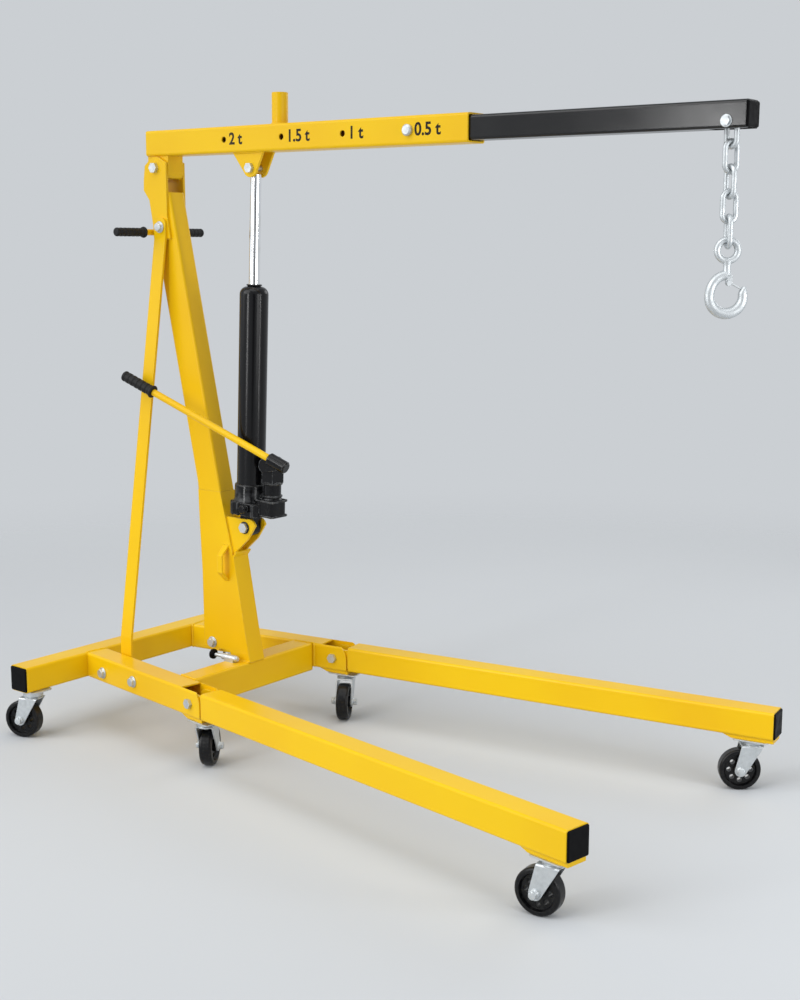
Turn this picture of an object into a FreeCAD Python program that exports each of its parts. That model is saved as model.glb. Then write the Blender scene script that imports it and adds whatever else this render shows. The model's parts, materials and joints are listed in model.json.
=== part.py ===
"""Folding workshop crane on six casters, with a hand-pumped ram, in millimetres.

+X points forward along the boom, +Y to the crane's left, +Z up, the floor is Z = 0.
Lengths along X are measured from the middle casters and moved by ORIGIN_X when a piece is written.
"""
import FreeCAD, Part
import math
import os

from FreeCAD import Placement, Rotation, Vector

# Whole crane
ORIGIN_X = 313.82
FIT = 0.05
THROUGH = 60.0

# Base: square tubes, the rails and legs splay outwards to the front
TUBE_W = 61.0
TUBE_H = 63.0
TUBE_WALL = 4.0
TUBE_CORNER = 6.0
UNDERSIDE_Z = 124.5
SPLAY = 8.7
RAIL_Y = 248.0
CROSSBAR_X = -484.0
CROSSBAR_HALF = 394.0
CROSSMEMBER_X = -101.0
CROSSMEMBER_H = 73.0
RAIL_END = 24.0
CAP_THICK = 4.0
CAP_EDGE = 2.5
CAP_INSET = 2.0
FRAME_REACH = 900.0

# Legs fold up about a bolt in the rail's front end
LEG_PIVOT_X = -16.0
LEG_START = 29.0
LEG_END = 1100.0
LEG_GAP = 0.5
LEG_BOLT_D = 13.0
ROOT_PLATE = 6.0
TONGUE_THICK = 8.0
TONGUE_HALF = 25.5
TONGUE_R = 23.0
SLOT_BEHIND = 34.0
RAIL_NOSE_R = 40.0

# Casters: swivel places and the way each one trails at rest
CASTER_TRAIL = 28.0
CASTER_PLACES = {
    "rear_right": (-484.0, -355.0, 200.0),
    "rear_left": (-484.0, 355.0, 160.0),
    "mid_right": (6.0, None, 120.0),
    "mid_left": (6.0, None, 300.0),
    "front_right": (1049.0, None, 186.0),
    "front_left": (1049.0, None, 216.0),
}
WHEEL_R = 46.0
WHEEL_W = 30.0
WHEEL_BORE = 12.0
WHEEL_HUB_D = 28.0
WHEEL_HUB_W = 34.0
WHEEL_WEB_W = 16.0
WHEEL_RIM_R = 34.0
WHEEL_SHOULDER = 6.0
WHEEL_HOLES = 8
WHEEL_HOLE_D = 11.0
WHEEL_HOLE_R = 24.0
AXLE_D = 11.9
AXLE_HEAD_D = 19.0
AXLE_HEAD = 4.5
FORK_GAP = 36.0
FORK_SHEET = 3.0
FORK_BEND = 5.0
FORK_TOP_Z = 105.0
FORK_REAR = -21.0
FORK_FRONT = 27.0
FORK_EYE_R = 13.0
RACE_D = 48.0
RACE_GAP = 0.3
RACE_FLARE = 5.0
KINGPIN_D = 17.0
KINGPIN_DROP = 7.0
PLATE_LONG = 78.0
PLATE_WIDE = 58.0
PLATE_THICK = 3.0
PLATE_CORNER = 8.0
PAD_THICK = 8.0
PAD_SLOPE = 20.0
PAD_PAST = 4.0

# Mast leans back and stands on the pedestal
MAST_LEAN = 12.0
MAST_FOOT_X = -169.0
MAST_FOOT_Z = 470.0
MAST_DEPTH = 74.0
MAST_W = 50.0
MAST_WALL = 4.0
MAST_TOP_Z = 1317.0

# Head cheeks: outline of one plate round the pivot, with shoulders that let the boom swing
CHEEK_THICK = 6.0
CHEEK_OUTLINE = ((-362.0, 1207.0), (-305.0, 1207.0), (-314.0, 1262.0), (-314.0, 1387.0), (-331.0, 1395.0),
                 (-353.0, 1401.0, -375.0, 1391.0), (-388.0, 1381.0), (-393.0, 1347.0), (-394.0, 1323.0),
                 (-375.0, 1299.0), (-364.0, 1240.0))

# Pedestal: a welded box from the crossmember up to the mast
PEDESTAL_TOP_Z = 600.0
PEDESTAL_WALL = 5.0
PEDESTAL_FRONT = ((-70.5, 187.5), (-84.0, 250.0), (-120.0, 446.0))
PEDESTAL_REAR = ((-232.0, 523.0), (-226.0, 397.0), (-224.0, 206.0), (-136.0, 206.0), (-131.5, 187.5))
COVER_THICK = 3.0
COVER_LIP = (13.0, 13.0)
EAR_INNER = 14.0
EAR_THICK = 6.0
EAR_OUTLINE = ((-145.0, 541.0), (-76.0, 541.0), (-56.0, 538.0, -48.5, 527.0), (-74.0, 491.0),
               (-123.0, 449.0))

# Boom and its pivot
PIVOT_X = -353.0
PIVOT_Z = 1375.0
PIVOT_BOLT_D = 14.0
BOOM_DIP = 0.48
BOOM_SIDE = 60.0
BOOM_WALL = 4.0
BOOM_Z = 1433.0
BOOM_REAR = -383.0
BOOM_FRONT = 575.0
HOLE_FIRST = -118.5
HOLE_STEP = 180.0
HOLE_COUNT = 4
HOLE_D = 14.0
LUG_FRONT = -313.0
LUG_BOTTOM = 1347.0
LUG_W = 48.0
LUG_WALL = 6.0
LUG_ROUND = 14.0
STUB_X = 31.0
STUB_OD = 37.0
STUB_ID = 29.0
STUB_TALL = 70.0
CLEVIS_FRONT = -4.0
CLEVIS_REAR = -99.0
CLEVIS_INNER = 14.5
CLEVIS_THICK = 6.0
CLEVIS_EYE_R = 21.0
LOAD_HEAD_D = 24.0
LOAD_HEAD = 9.0
LOAD_GAP = 0.6

# Extension, hook bolt, chain and hook
EXT_SIDE = 50.0
EXT_WALL = 4.0
EXT_REAR = 330.0
EXT_FRONT = 1180.0
HOOK_BOLT_X = 1142.0
HOOK_BOLT_DROP = 12.0
HOOK_BOLT_D = 10.0
CHAIN_SLOT_BEHIND = 39.0
CHAIN_SLOT_WIDE = 28.0
LINK_WIRE = 10.0
LINK_INNER_W = 16.0
LINK_INNER_L = 45.0
LINK_TURNS = (-20.0, 62.0, -32.0, 50.0, -48.0)
LINK_PLAY = 0.4
HOOK_TURN = 38.0
EYE_WIRE = 13.0
EYE_R = 19.0
HOOK_BOWL_R = 31.0
HOOK_NECK = 8.0
HOOK_SHANK = 26.0
HOOK_SHANK_R = 7.0
HOOK_STEEL_R = 9.0
HOOK_SWELL = 1.5
HOOK_TIP_R = 4.0
HOOK_TIP_TALL = 18.0
HOOK_TIP_OUT = 2.2
LATCH_PIVOT = (4.0, -14.0)
LATCH_LUG_R = 6.0
LATCH_LUG_WIDE = 8.0
LATCH_RIVET_D = 4.0
LATCH_PLAY = 0.4
LATCH_WIDE = 13.0
LATCH_THICK = 2.5
LATCH_END = (7.0, 14.0)

# Hydraulic ram between the pedestal's ears and the boom's clevis
RAM_FOOT = (-83.0, 520.0)
RAM_HEAD = (-45.0, 1368.0)
RAM_PIN_D = 14.0
HEAD_PIN_D = 13.0
CYLINDER_D = 68.0
CYLINDER_FLOOR = 12.0
CYLINDER_BOTTOM = 66.0
CYLINDER_TOP = 576.0
CYLINDER_DOME = 19.0
GLAND_TALL = 5.0
GLAND_WALL = 6.0
GLAND_CHAMFER = 2.0
ROD_D = 26.0
ROD_FOOT = 275.0
ROD_END_GAP = 8.0
ROD_CHAMFER = 2.0

# Cast pump base under the cylinder
PUMP_X = 70.0
PUMP_PIVOT_Z = 162.0
FOOT_EYE_D = 44.0
FOOT_EYE_HALF = 13.0
CASTING_LOW = 34.0
CASTING_HALF = 39.0
CASTING_CORNER = 14.0
CASTING_EDGE = 4.0
SHOE_FRONT = 95.0
SHOE_HALF = 27.0
SHOE_TOP = 76.0
COLUMN_D = 42.0
COLUMN_FLANGE_D = 48.0
COLUMN_TOP = 120.0
COLUMN_RING = 8.0
POST_WIDE = 34.0
POST_HALF = 20.0
VALVE_PLACE = (20.0, 52.0)
VALVE_D = 14.0
VALVE_LONG = 16.0
RIB_THICK = 8.0

# Pump handle: a bar in a socket that rocks on the pump
HANDLE_Y = -42.0
HANDLE_LIFT = 30.0
HANDLE_AXLE_D = 14.0
HANDLE_RISE = 23.6
HANDLE_SWING = 9.9
HANDLE_LENGTH = 352.0
HANDLE_D = 17.0
HANDLE_GRIP_LENGTH = 95.0
HANDLE_GRIP_D = 26.0
SOCKET_D = 30.0
SOCKET_FRONT = 76.0
SOCKET_BACK = 24.0
SOCKET_EDGE = 3.0
SOCKET_BOSS_D = 32.0
SOCKET_BOSS_INNER = 20.0

# Spring pin on the crossmember and storage loop on the pedestal's right side
LOCK_PIN = (-166.0, -90.0, -45.0)
LOCK_PIN_D = 16.0
LOCK_PIN_RISE = 9.0
LOCK_STEM_D = 9.0
LOCK_SADDLE = (-128.0, -100.0)
LOCK_KNOB_D = 25.0
LOCK_KNOB_LONG = 13.0
LOOP = (-142.0, 382.0, 472.0)
LOOP_WIDE = 16.0
LOOP_OUT = 24.0
LOOP_STRIP = 4.0

# Push handle behind the mast and braces down to the rails
PUSH_Z = 1222.0
PUSH_D = 15.0
PUSH_HALF = 138.0
PUSH_GRIP_LENGTH = 88.0
GRIP_SLEEVE = 3.0
GRIP_FLANGE = 6.0
GRIP_FLANGE_LONG = 7.0
GRIP_END = 4.0
GRIP_BLIND = 13.0
GRIP_GROOVES = 6
GRIP_GROOVE_DEEP = 1.2
BRACE_TOP = (-334.0, 1234.0)
BRACE_FOOT = (-368.0, 150.0)
BRACE_WIDE = 38.0
BRACE_THICK = 6.0
BRACE_FLAT = 22.0
BRACE_BEND_Z = 230.0
BRACE_ROUND = 15.0

BOXES = []
SIDES = {"right": -1, "left": 1}


def box(x0, x1, y0, y1, z0, z1):
    """Box between two corners."""
    return Part.makeBox(x1 - x0, y1 - y0, z1 - z0, Vector(x0, y0, z0))


def rod(diameter, start, end):
    """Round bar from one point to another."""
    start, end = Vector(*start), Vector(*end)
    return Part.makeCylinder(diameter / 2, (end - start).Length, start, end - start)


def turned(shape, centre, axis, degrees):
    """Copy of a shape, turned about an axis through a point."""
    copy = shape.copy()
    copy.rotate(Vector(*centre), Vector(*axis), degrees)
    return copy


def edges_along(shape, direction):
    """Straight edges of a shape that run along a direction."""
    return [e for e in shape.Edges
            if e.Curve.TypeId == "Part::GeomLine"
            and abs(e.tangentAt(e.FirstParameter).dot(Vector(*direction))) > 0.99]


def profile(points):
    """Face in the XZ plane. A point of four numbers is the middle and the end of an arc."""
    first = Vector(points[0][0], 0, points[0][1])
    start = first
    edges = []
    for point in points[1:]:
        end = Vector(point[-2], 0, point[-1])
        if len(point) == 4:
            edges.append(Part.Arc(start, Vector(point[0], 0, point[1]), end).toShape())
        else:
            edges.append(Part.LineSegment(start, end).toShape())
        start = end
    edges.append(Part.LineSegment(start, first).toShape())
    return Part.Face(Part.Wire(edges))


def side_plate(points, y0, y1):
    """Plate with an outline in the XZ plane, between two values of Y."""
    face = profile(points)
    face.translate(Vector(0, y0, 0))
    return face.extrude(Vector(0, y1 - y0, 0))


def spun(points, centre, axis):
    """Turned piece: a profile of radius and height, spun about an axis through a centre."""
    solid = profile(points).revolve(Vector(0, 0, 0), Vector(0, 0, 1), 360)
    solid.Placement = Placement(Vector(*centre), Rotation(Vector(0, 0, 1), Vector(*axis)))
    return solid


def tangent(point, centre, radius, turn):
    """Where a line from a point touches a circle, on the side that turn gives."""
    dx, dz = point[0] - centre[0], point[1] - centre[1]
    angle = math.atan2(dz, dx) + turn * math.acos(radius / math.hypot(dx, dz))
    return centre[0] + radius * math.cos(angle), centre[1] + radius * math.sin(angle)


def hanging_eye(rear, front, centre, radius):
    """Outline of a plate that tapers from its upper edge to a round eye below."""
    return [rear, tangent(rear, centre, radius, 1), (centre[0], centre[1] - radius,
            *tangent(front, centre, radius, -1)), front]


def joined(shapes):
    """One solid from pieces that are welded or cast together."""
    result = shapes[0].fuse(shapes[1:])
    return result.removeSplitter()


def write(name, *shapes):
    """Write one node, moved so that the crane's middle is at the origin."""
    node = shapes[0] if len(shapes) == 1 else Part.makeCompound(list(shapes))
    node = node.copy()
    node.translate(Vector(-ORIGIN_X, 0, 0))
    node.exportStep("parts/%s.step" % name)
    BOXES.append(node.optimalBoundingBox(True, False))
    for solid in node.Solids:
        if not solid.isValid():
            print("not valid:", name)
    print(name, len(node.Solids), round(node.Volume / 1000), "cm3")


def rail_line_y(x):
    """Distance of the rail's and leg's centre line from the middle of the crane."""
    return RAIL_Y + x * math.tan(math.radians(SPLAY))


def along_rail(shape, side):
    """Turn a shape made along +X at the middle casters into line with one rail."""
    copy = shape.copy()
    copy.rotate(Vector(0, 0, 0), Vector(0, 0, 1), SPLAY * SIDES[side])
    copy.translate(Vector(0, RAIL_Y * SIDES[side], 0))
    return copy


def across(shape, x):
    """Turn a shape made along +X to run across the crane at a place along X."""
    copy = turned(shape, (0, 0, 0), (0, 0, 1), 90)
    copy.translate(Vector(x, 0, 0))
    return copy


def rail_length(x):
    """Place along the rail's own line for a place along X."""
    return x / math.cos(math.radians(SPLAY))


def round_bar(x0, x1, width, height, z0, radius):
    """Bar along X with its four long edges rounded."""
    bar = box(x0, x1, -width / 2, width / 2, z0, z0 + height)
    return bar.makeFillet(radius, edges_along(bar, (1, 0, 0)))


def square_tube(x0, x1, width, height, wall, z0):
    """Tube along X with rounded corners and open ends."""
    bore = round_bar(x0 - 1, x1 + 1, width - 2 * wall, height - 2 * wall, z0 + wall, TUBE_CORNER - wall)
    return round_bar(x0, x1, width, height, z0, TUBE_CORNER).cut(bore)


def end_cap(x, width, height, z0):
    """Moulded cap on a tube's end at x, inside the tube's rim, with a rounded outer edge."""
    cap = round_bar(x, x + CAP_THICK, width - 2 * CAP_INSET, height - 2 * CAP_INSET, z0 + CAP_INSET,
                    TUBE_CORNER - CAP_INSET)
    rim = [e for e in cap.Edges if abs(e.CenterOfMass.x - x - CAP_THICK) < 0.01]
    return cap.makeFillet(CAP_EDGE, rim)


def hex_bolt(head_at, end, diameter, head=0.62):
    """Hexagon bolt and nut: the head's face at one point, the nut's face at the other."""
    a, b = Vector(*head_at), Vector(*end)
    along = (b - a).normalize()
    thick = diameter * head
    corner = diameter * 0.92
    corners = [Vector(corner * math.cos(k * math.pi / 3), corner * math.sin(k * math.pi / 3), 0)
               for k in range(7)]
    prism = Part.Face(Part.makePolygon(corners)).extrude(Vector(0, 0, thick))
    spin = Rotation(Vector(0, 0, 1), along)
    head_solid = prism.copy()
    head_solid.Placement = Placement(a - along * thick, spin)
    nut_solid = prism.copy()
    nut_solid.Placement = Placement(b, spin)
    shank = Part.makeCylinder(diameter / 2, (b - a).Length, a, along)
    return joined([shank, head_solid, nut_solid])


# Base frame


def build_crossbar():
    """Rear crossbar, open at both ends, with a cap on each."""
    tube = square_tube(-CROSSBAR_HALF, CROSSBAR_HALF, TUBE_W, TUBE_H, TUBE_WALL, UNDERSIDE_Z)
    write("rear_crossbar", across(tube, CROSSBAR_X))
    cap = end_cap(CROSSBAR_HALF, TUBE_W, TUBE_H, UNDERSIDE_Z)
    other = turned(cap, (0, 0, 0), (0, 0, 1), 180)
    write("crossbar_caps", across(cap, CROSSBAR_X), across(other, CROSSBAR_X))


def rail_bar(side):
    """Rail's outer form, from the crossbar's front face to the leg, without its hollow."""
    bar = round_bar(rail_length(CROSSBAR_X) - TUBE_W, rail_length(RAIL_END), TUBE_W, TUBE_H, UNDERSIDE_Z,
                    TUBE_CORNER)
    bar = bar.fuse(caster_pad(rail_length(CASTER_PLACES["mid_right"][0]), rail_length(RAIL_END),
                              UNDERSIDE_Z))
    behind = box(-FRAME_REACH, CROSSBAR_X + TUBE_W / 2, -FRAME_REACH, FRAME_REACH, 0, FRAME_REACH)
    return along_rail(bar.removeSplitter(), side).cut(behind)


def caster_pad(middle, front, z):
    """Pad under a tube for a caster's plate: it ramps down behind the plate and ends flush with the tube."""
    half = TUBE_W / 2 - TUBE_CORNER
    rear = middle - PLATE_LONG / 2 - PAD_PAST
    low = z - PAD_THICK
    outline = [(rear - PAD_SLOPE, z + FIT), (front, z + FIT), (front, low), (rear, low),
               (rear - PAD_SLOPE, z)]
    return side_plate(outline, -half, half)


def build_rails():
    """Side rails, each slotted at the front end for the leg's tongue."""
    z1 = UNDERSIDE_Z + TUBE_H
    half_bore = TUBE_W / 2 - TUBE_WALL
    front = rail_length(RAIL_END) + 1
    pivot = (rail_length(LEG_PIVOT_X), UNDERSIDE_Z + TUBE_H / 2)
    bore = round_bar(rail_length(CROSSBAR_X) - 2 * TUBE_W, front, 2 * half_bore, TUBE_H - 2 * TUBE_WALL,
                     UNDERSIDE_Z + TUBE_WALL, TUBE_CORNER - TUBE_WALL)
    slot = box(pivot[0] - SLOT_BEHIND, front, -half_bore, half_bore, z1 - 2 * TUBE_WALL, z1 + 1)
    bolt_hole = rod(LEG_BOLT_D + 2 * FIT, (pivot[0], -THROUGH, pivot[1]), (pivot[0], THROUGH, pivot[1]))
    corner = box(pivot[0], front, -THROUGH, THROUGH, pivot[1], z1 + 1)
    nose = corner.cut(rod(2 * RAIL_NOSE_R, (pivot[0], -THROUGH, pivot[1]), (pivot[0], THROUGH, pivot[1])))
    hollow = joined([bore, slot, bolt_hole, nose])
    for side in SIDES:
        write("rail_" + side, rail_bar(side).cut(along_rail(hollow, side)))


def build_crossmember():
    """Front crossmember between the rails, under the mast."""
    low = UNDERSIDE_Z + TUBE_H - CROSSMEMBER_H
    bar = across(square_tube(-RAIL_Y, RAIL_Y, TUBE_W, CROSSMEMBER_H, TUBE_WALL, low), CROSSMEMBER_X)
    outside = box(-FRAME_REACH, FRAME_REACH, -TUBE_W / 2, FRAME_REACH, 0, FRAME_REACH)
    bar = bar.cut(along_rail(outside, "left"))
    bar = bar.cut(along_rail(outside.mirror(Vector(0, 0, 0), Vector(0, 1, 0)), "right"))
    middle = [s for s in bar.Solids if abs(s.CenterOfMass.y) < 5]
    write("front_crossmember", middle[0])


# Mast, pedestal and what holds them


def mast_x(z):
    """Middle of the leaning mast at a height."""
    return MAST_FOOT_X - (z - MAST_FOOT_Z) * math.tan(math.radians(MAST_LEAN))


def mast_face(z, side):
    """Front (+1) or rear (-1) face of the leaning mast at a height."""
    return mast_x(z) + side * MAST_DEPTH / 2 / math.cos(math.radians(MAST_LEAN))


def build_mast():
    """Leaning mast tube with level ends, and cheeks at its head that hold the boom's pivot."""
    tube = square_tube(-100, 1100, MAST_W, MAST_DEPTH, MAST_WALL, -MAST_DEPTH / 2)
    tube = turned(tube, (0, 0, 0), (0, 1, 0), -90 - MAST_LEAN)
    tube.translate(Vector(MAST_FOOT_X, 0, MAST_FOOT_Z))
    write("mast_tube", tube.common(box(-600, 200, -100, 100, PEDESTAL_TOP_Z, MAST_TOP_Z)))
    cheeks = []
    for side in SIDES.values():
        y0, y1 = sorted((side * MAST_W / 2, side * (MAST_W / 2 + CHEEK_THICK)))
        hole = rod(PIVOT_BOLT_D + 2 * FIT, (PIVOT_X, y0 - 1, PIVOT_Z), (PIVOT_X, y1 + 1, PIVOT_Z))
        cheeks.append(side_plate(CHEEK_OUTLINE, y0, y1).cut(hole))
    write("head_cheeks", *cheeks)


def build_pedestal():
    """Pedestal: a welded box that widens down to the crossmember, with ram ears and a lipped cover."""
    half = MAST_W / 2
    top = PEDESTAL_TOP_Z
    foot = PEDESTAL_FRONT[0][1]
    outline = [*PEDESTAL_FRONT, (mast_face(top, 1), top), (mast_face(top, -1), top), *PEDESTAL_REAR]
    wall = PEDESTAL_WALL
    inner_front = [(x - wall, z) for x, z in PEDESTAL_FRONT] + [(mast_face(top, 1) - wall, top)]
    inner_rear = [(mast_face(top, -1) + wall, top)] + [(x + wall, z) for x, z in PEDESTAL_REAR[:3]]
    below = [(inner_rear[-1][0], foot - 1), (inner_front[0][0], foot - 1)]
    above = [(inner_front[-1][0], top + 1), (inner_rear[0][0], top + 1)]
    hollow = side_plate(inner_front + above + inner_rear + below, -half + wall, half - wall)
    shell = side_plate(outline, -half, half).cut(hollow)

    low, bend, high = PEDESTAL_FRONT
    lip = (high[0] + COVER_LIP[0], high[1] + COVER_LIP[1])
    cover = [low, bend, high, (lip[0] - COVER_THICK, lip[1]), (lip[0], lip[1] - COVER_THICK),
             (high[0] + COVER_THICK, high[1] - COVER_THICK), (bend[0] + COVER_THICK, bend[1]),
             (low[0] + COVER_THICK, low[1])]
    shapes = [shell, side_plate(cover, -half, half)]
    for side in SIDES.values():
        y0, y1 = sorted((side * EAR_INNER, side * (EAR_INNER + EAR_THICK)))
        shapes.append(side_plate(EAR_OUTLINE, y0, y1))
    pin_hole = rod(RAM_PIN_D + 2 * FIT, (RAM_FOOT[0], -THROUGH, RAM_FOOT[1]),
                   (RAM_FOOT[0], THROUGH, RAM_FOOT[1]))
    write("pedestal", joined(shapes).cut(pin_hole))


def build_braces():
    """Flat braces from the head cheeks out to the inner faces of the rails, with bent, rounded ends."""
    near = MAST_W / 2 + CHEEK_THICK
    rear_edge = BRACE_FOOT[0] - BRACE_WIDE / 2
    far = rail_line_y(rear_edge) - TUBE_W / 2 / math.cos(math.radians(SPLAY)) - FIT
    top_z, bend_z = BRACE_TOP[1] + BRACE_FLAT, BRACE_TOP[1] - BRACE_FLAT
    foot_z = BRACE_FOOT[1] - BRACE_FLAT
    inner = [(near, top_z), (near, bend_z), (far - BRACE_THICK, BRACE_BEND_Z), (far - BRACE_THICK, foot_z)]
    outline = inner + [(y + BRACE_THICK, z) for y, z in reversed(inner)]
    lean = math.degrees(math.atan2(BRACE_TOP[0] - BRACE_FOOT[0], BRACE_TOP[1] - BRACE_FOOT[1]))
    for name, side in SIDES.items():
        points = [Vector(BRACE_TOP[0] - BRACE_WIDE / 2, side * y, z) for y, z in outline]
        bar = Part.Face(Part.makePolygon(points + points[:1])).extrude(Vector(BRACE_WIDE, 0, 0))
        ends = [e for e in edges_along(bar, (0, 1, 0))
                if min(abs(e.CenterOfMass.z - z) for z in (top_z, foot_z)) < 1]
        bar = bar.makeFillet(BRACE_ROUND, ends)
        write("brace_" + name, turned(bar, (BRACE_TOP[0], 0, BRACE_TOP[1]), (0, 1, 0), lean))


def grip_profile(length, bore_r, sleeve_r, flange_r, closed):
    """Half section of a hand grip, from its flange to its closed end: grooves, rounded end and blind bore."""
    flange = GRIP_FLANGE_LONG
    groove = (length - 2 * flange) / (2 * GRIP_GROOVES)
    points = [(bore_r, 0), (flange_r - 2, 0), (flange_r, flange / 2, flange_r - 2, flange),
              (sleeve_r, flange)]
    for k in range(GRIP_GROOVES):
        start = flange + (2 * k + 1) * groove
        points.append((sleeve_r, start))
        points.append((sleeve_r - GRIP_GROOVE_DEEP, start + groove / 2, sleeve_r, start + groove))
    points.append((sleeve_r, length - GRIP_END))
    points.append((sleeve_r - GRIP_END * 0.3, length - GRIP_END * 0.3, sleeve_r - GRIP_END, length))
    return points + [(0, length), (0, closed), (bore_r, closed)]


def build_push_handle():
    """Push handle welded across the back of the mast, with a grip on each end."""
    x = mast_face(PUSH_Z, -1) - PUSH_D / 2
    bar = rod(PUSH_D, (x, -PUSH_HALF, PUSH_Z), (x, PUSH_HALF, PUSH_Z))
    low, high = PUSH_Z - THROUGH, PUSH_Z + THROUGH
    mast = side_plate([(mast_face(low, -1), low), (mast_face(high, -1), high), (x + THROUGH, PUSH_Z)],
                      -MAST_W, MAST_W)
    write("push_handle", bar.cut(mast))
    sleeve_r = PUSH_D / 2 + GRIP_SLEEVE
    section = grip_profile(PUSH_GRIP_LENGTH + GRIP_END, PUSH_D / 2 + FIT, sleeve_r,
                           PUSH_D / 2 + GRIP_FLANGE, PUSH_GRIP_LENGTH)
    grips = []
    for side in SIDES.values():
        grips.append(spun(section, (x, side * (PUSH_HALF - PUSH_GRIP_LENGTH), PUSH_Z), (0, side, 0)))
    write("push_handle_grips", *grips)


def build_fasteners():
    """Bolts and pins that stay with the base."""
    cheek = MAST_W / 2 + CHEEK_THICK
    ear = EAR_INNER + EAR_THICK
    pivot = hex_bolt((PIVOT_X, -cheek, PIVOT_Z), (PIVOT_X, cheek, PIVOT_Z), PIVOT_BOLT_D)
    ram_pin = hex_bolt((RAM_FOOT[0], -ear, RAM_FOOT[1]), (RAM_FOOT[0], ear, RAM_FOOT[1]), RAM_PIN_D)
    write("mast_pins", pivot, ram_pin)
    s = rail_length(LEG_PIVOT_X)
    z = UNDERSIDE_Z + TUBE_H / 2
    bolts = []
    for side, sign in SIDES.items():
        bolts.append(along_rail(hex_bolt((s, sign * TUBE_W / 2, z), (s, -sign * TUBE_W / 2, z), LEG_BOLT_D),
                                side))
    write("leg_pivot_bolts", *bolts)


# Legs


def build_legs():
    """Legs: tube, root plate and the two tongues that the pivot bolt goes through."""
    z0 = UNDERSIDE_Z + LEG_GAP
    height = TUBE_H - LEG_GAP
    mid = UNDERSIDE_Z + TUBE_H / 2
    start, end = rail_length(LEG_START), rail_length(LEG_END)
    pivot = rail_length(LEG_PIVOT_X)
    tube = square_tube(start, end, TUBE_W, height, TUBE_WALL, z0)
    plate = round_bar(start, start + ROOT_PLATE, TUBE_W - TUBE_WALL, height - TUBE_WALL, z0 + TUBE_WALL / 2,
                      TUBE_CORNER - TUBE_WALL)
    shapes = [tube, plate, caster_pad(rail_length(CASTER_PLACES["front_right"][0]), end, z0)]
    for y0 in (-TONGUE_HALF, TONGUE_HALF - TONGUE_THICK):
        outline = [(start, mid - TONGUE_R), (start, mid + TONGUE_R), (pivot, mid + TONGUE_R),
                   (pivot - TONGUE_R, mid, pivot, mid - TONGUE_R)]
        shapes.append(side_plate(outline, y0, y0 + TONGUE_THICK))
    leg = joined(shapes)
    leg = leg.cut(rod(LEG_BOLT_D + 2 * FIT, (pivot, -THROUGH, mid), (pivot, THROUGH, mid)))
    cap = end_cap(end, TUBE_W, height, z0)
    for side in SIDES:
        write("leg_" + side, along_rail(leg, side))
        write("leg_%s_cap" % side, along_rail(cap, side))


# Casters


def caster_place(name):
    """Swivel axis and trail direction of one caster."""
    x, y, trail = CASTER_PLACES[name]
    if y is None:
        y = rail_line_y(x) * SIDES[name.split("_")[1]]
    return x, y, trail


def caster_fork():
    """Fork bent from sheet, with its swivel crown, kingpin and axle, trailing along +X."""
    half_out = FORK_GAP / 2 + FORK_SHEET
    top = FORK_TOP_Z - 1
    axle = (CASTER_TRAIL, WHEEL_R)
    sheet = round_bar(FORK_REAR, CASTER_TRAIL + FORK_EYE_R, 2 * half_out, 2 * WHEEL_R, top - 2 * WHEEL_R,
                      FORK_BEND)
    room = round_bar(FORK_REAR - 1, CASTER_TRAIL + FORK_EYE_R + 1, FORK_GAP, 2 * WHEEL_R,
                     top - 2 * WHEEL_R - FORK_SHEET, FORK_BEND - FORK_SHEET)
    outline = hanging_eye((FORK_REAR, top), (FORK_FRONT, top), axle, FORK_EYE_R)
    bent = sheet.cut(room).common(side_plate(outline, -half_out, half_out))
    crown = spun([(0, FORK_TOP_Z - 4), (RACE_D / 2 - 1, FORK_TOP_Z - 4), (RACE_D / 2 - 1, FORK_TOP_Z - 1.5),
                  (RACE_D / 2 - 3, FORK_TOP_Z), (0, FORK_TOP_Z)], (0, 0, 0), (0, 0, 1))
    kingpin = spun([(0, FORK_TOP_Z - 4 - KINGPIN_DROP), (KINGPIN_D / 2 - 2, FORK_TOP_Z - 4 - KINGPIN_DROP),
                    (KINGPIN_D / 2, FORK_TOP_Z - 2 - KINGPIN_DROP), (KINGPIN_D / 2, FORK_TOP_Z - 4),
                    (0, FORK_TOP_Z - 4)], (0, 0, 0), (0, 0, 1))
    shaft = spun([(0, -half_out - AXLE_HEAD), (AXLE_HEAD_D / 2 - 2, -half_out - AXLE_HEAD),
                  (AXLE_HEAD_D / 2, -half_out - 2), (AXLE_HEAD_D / 2, -half_out), (AXLE_D / 2, -half_out),
                  (AXLE_D / 2, half_out), (AXLE_HEAD_D / 2, half_out), (AXLE_HEAD_D / 2, half_out + 2),
                  (AXLE_HEAD_D / 2 - 2, half_out + AXLE_HEAD), (0, half_out + AXLE_HEAD)],
                 (CASTER_TRAIL, 0, WHEEL_R), (0, 1, 0))
    return joined([bent, crown, kingpin, shaft])


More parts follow.
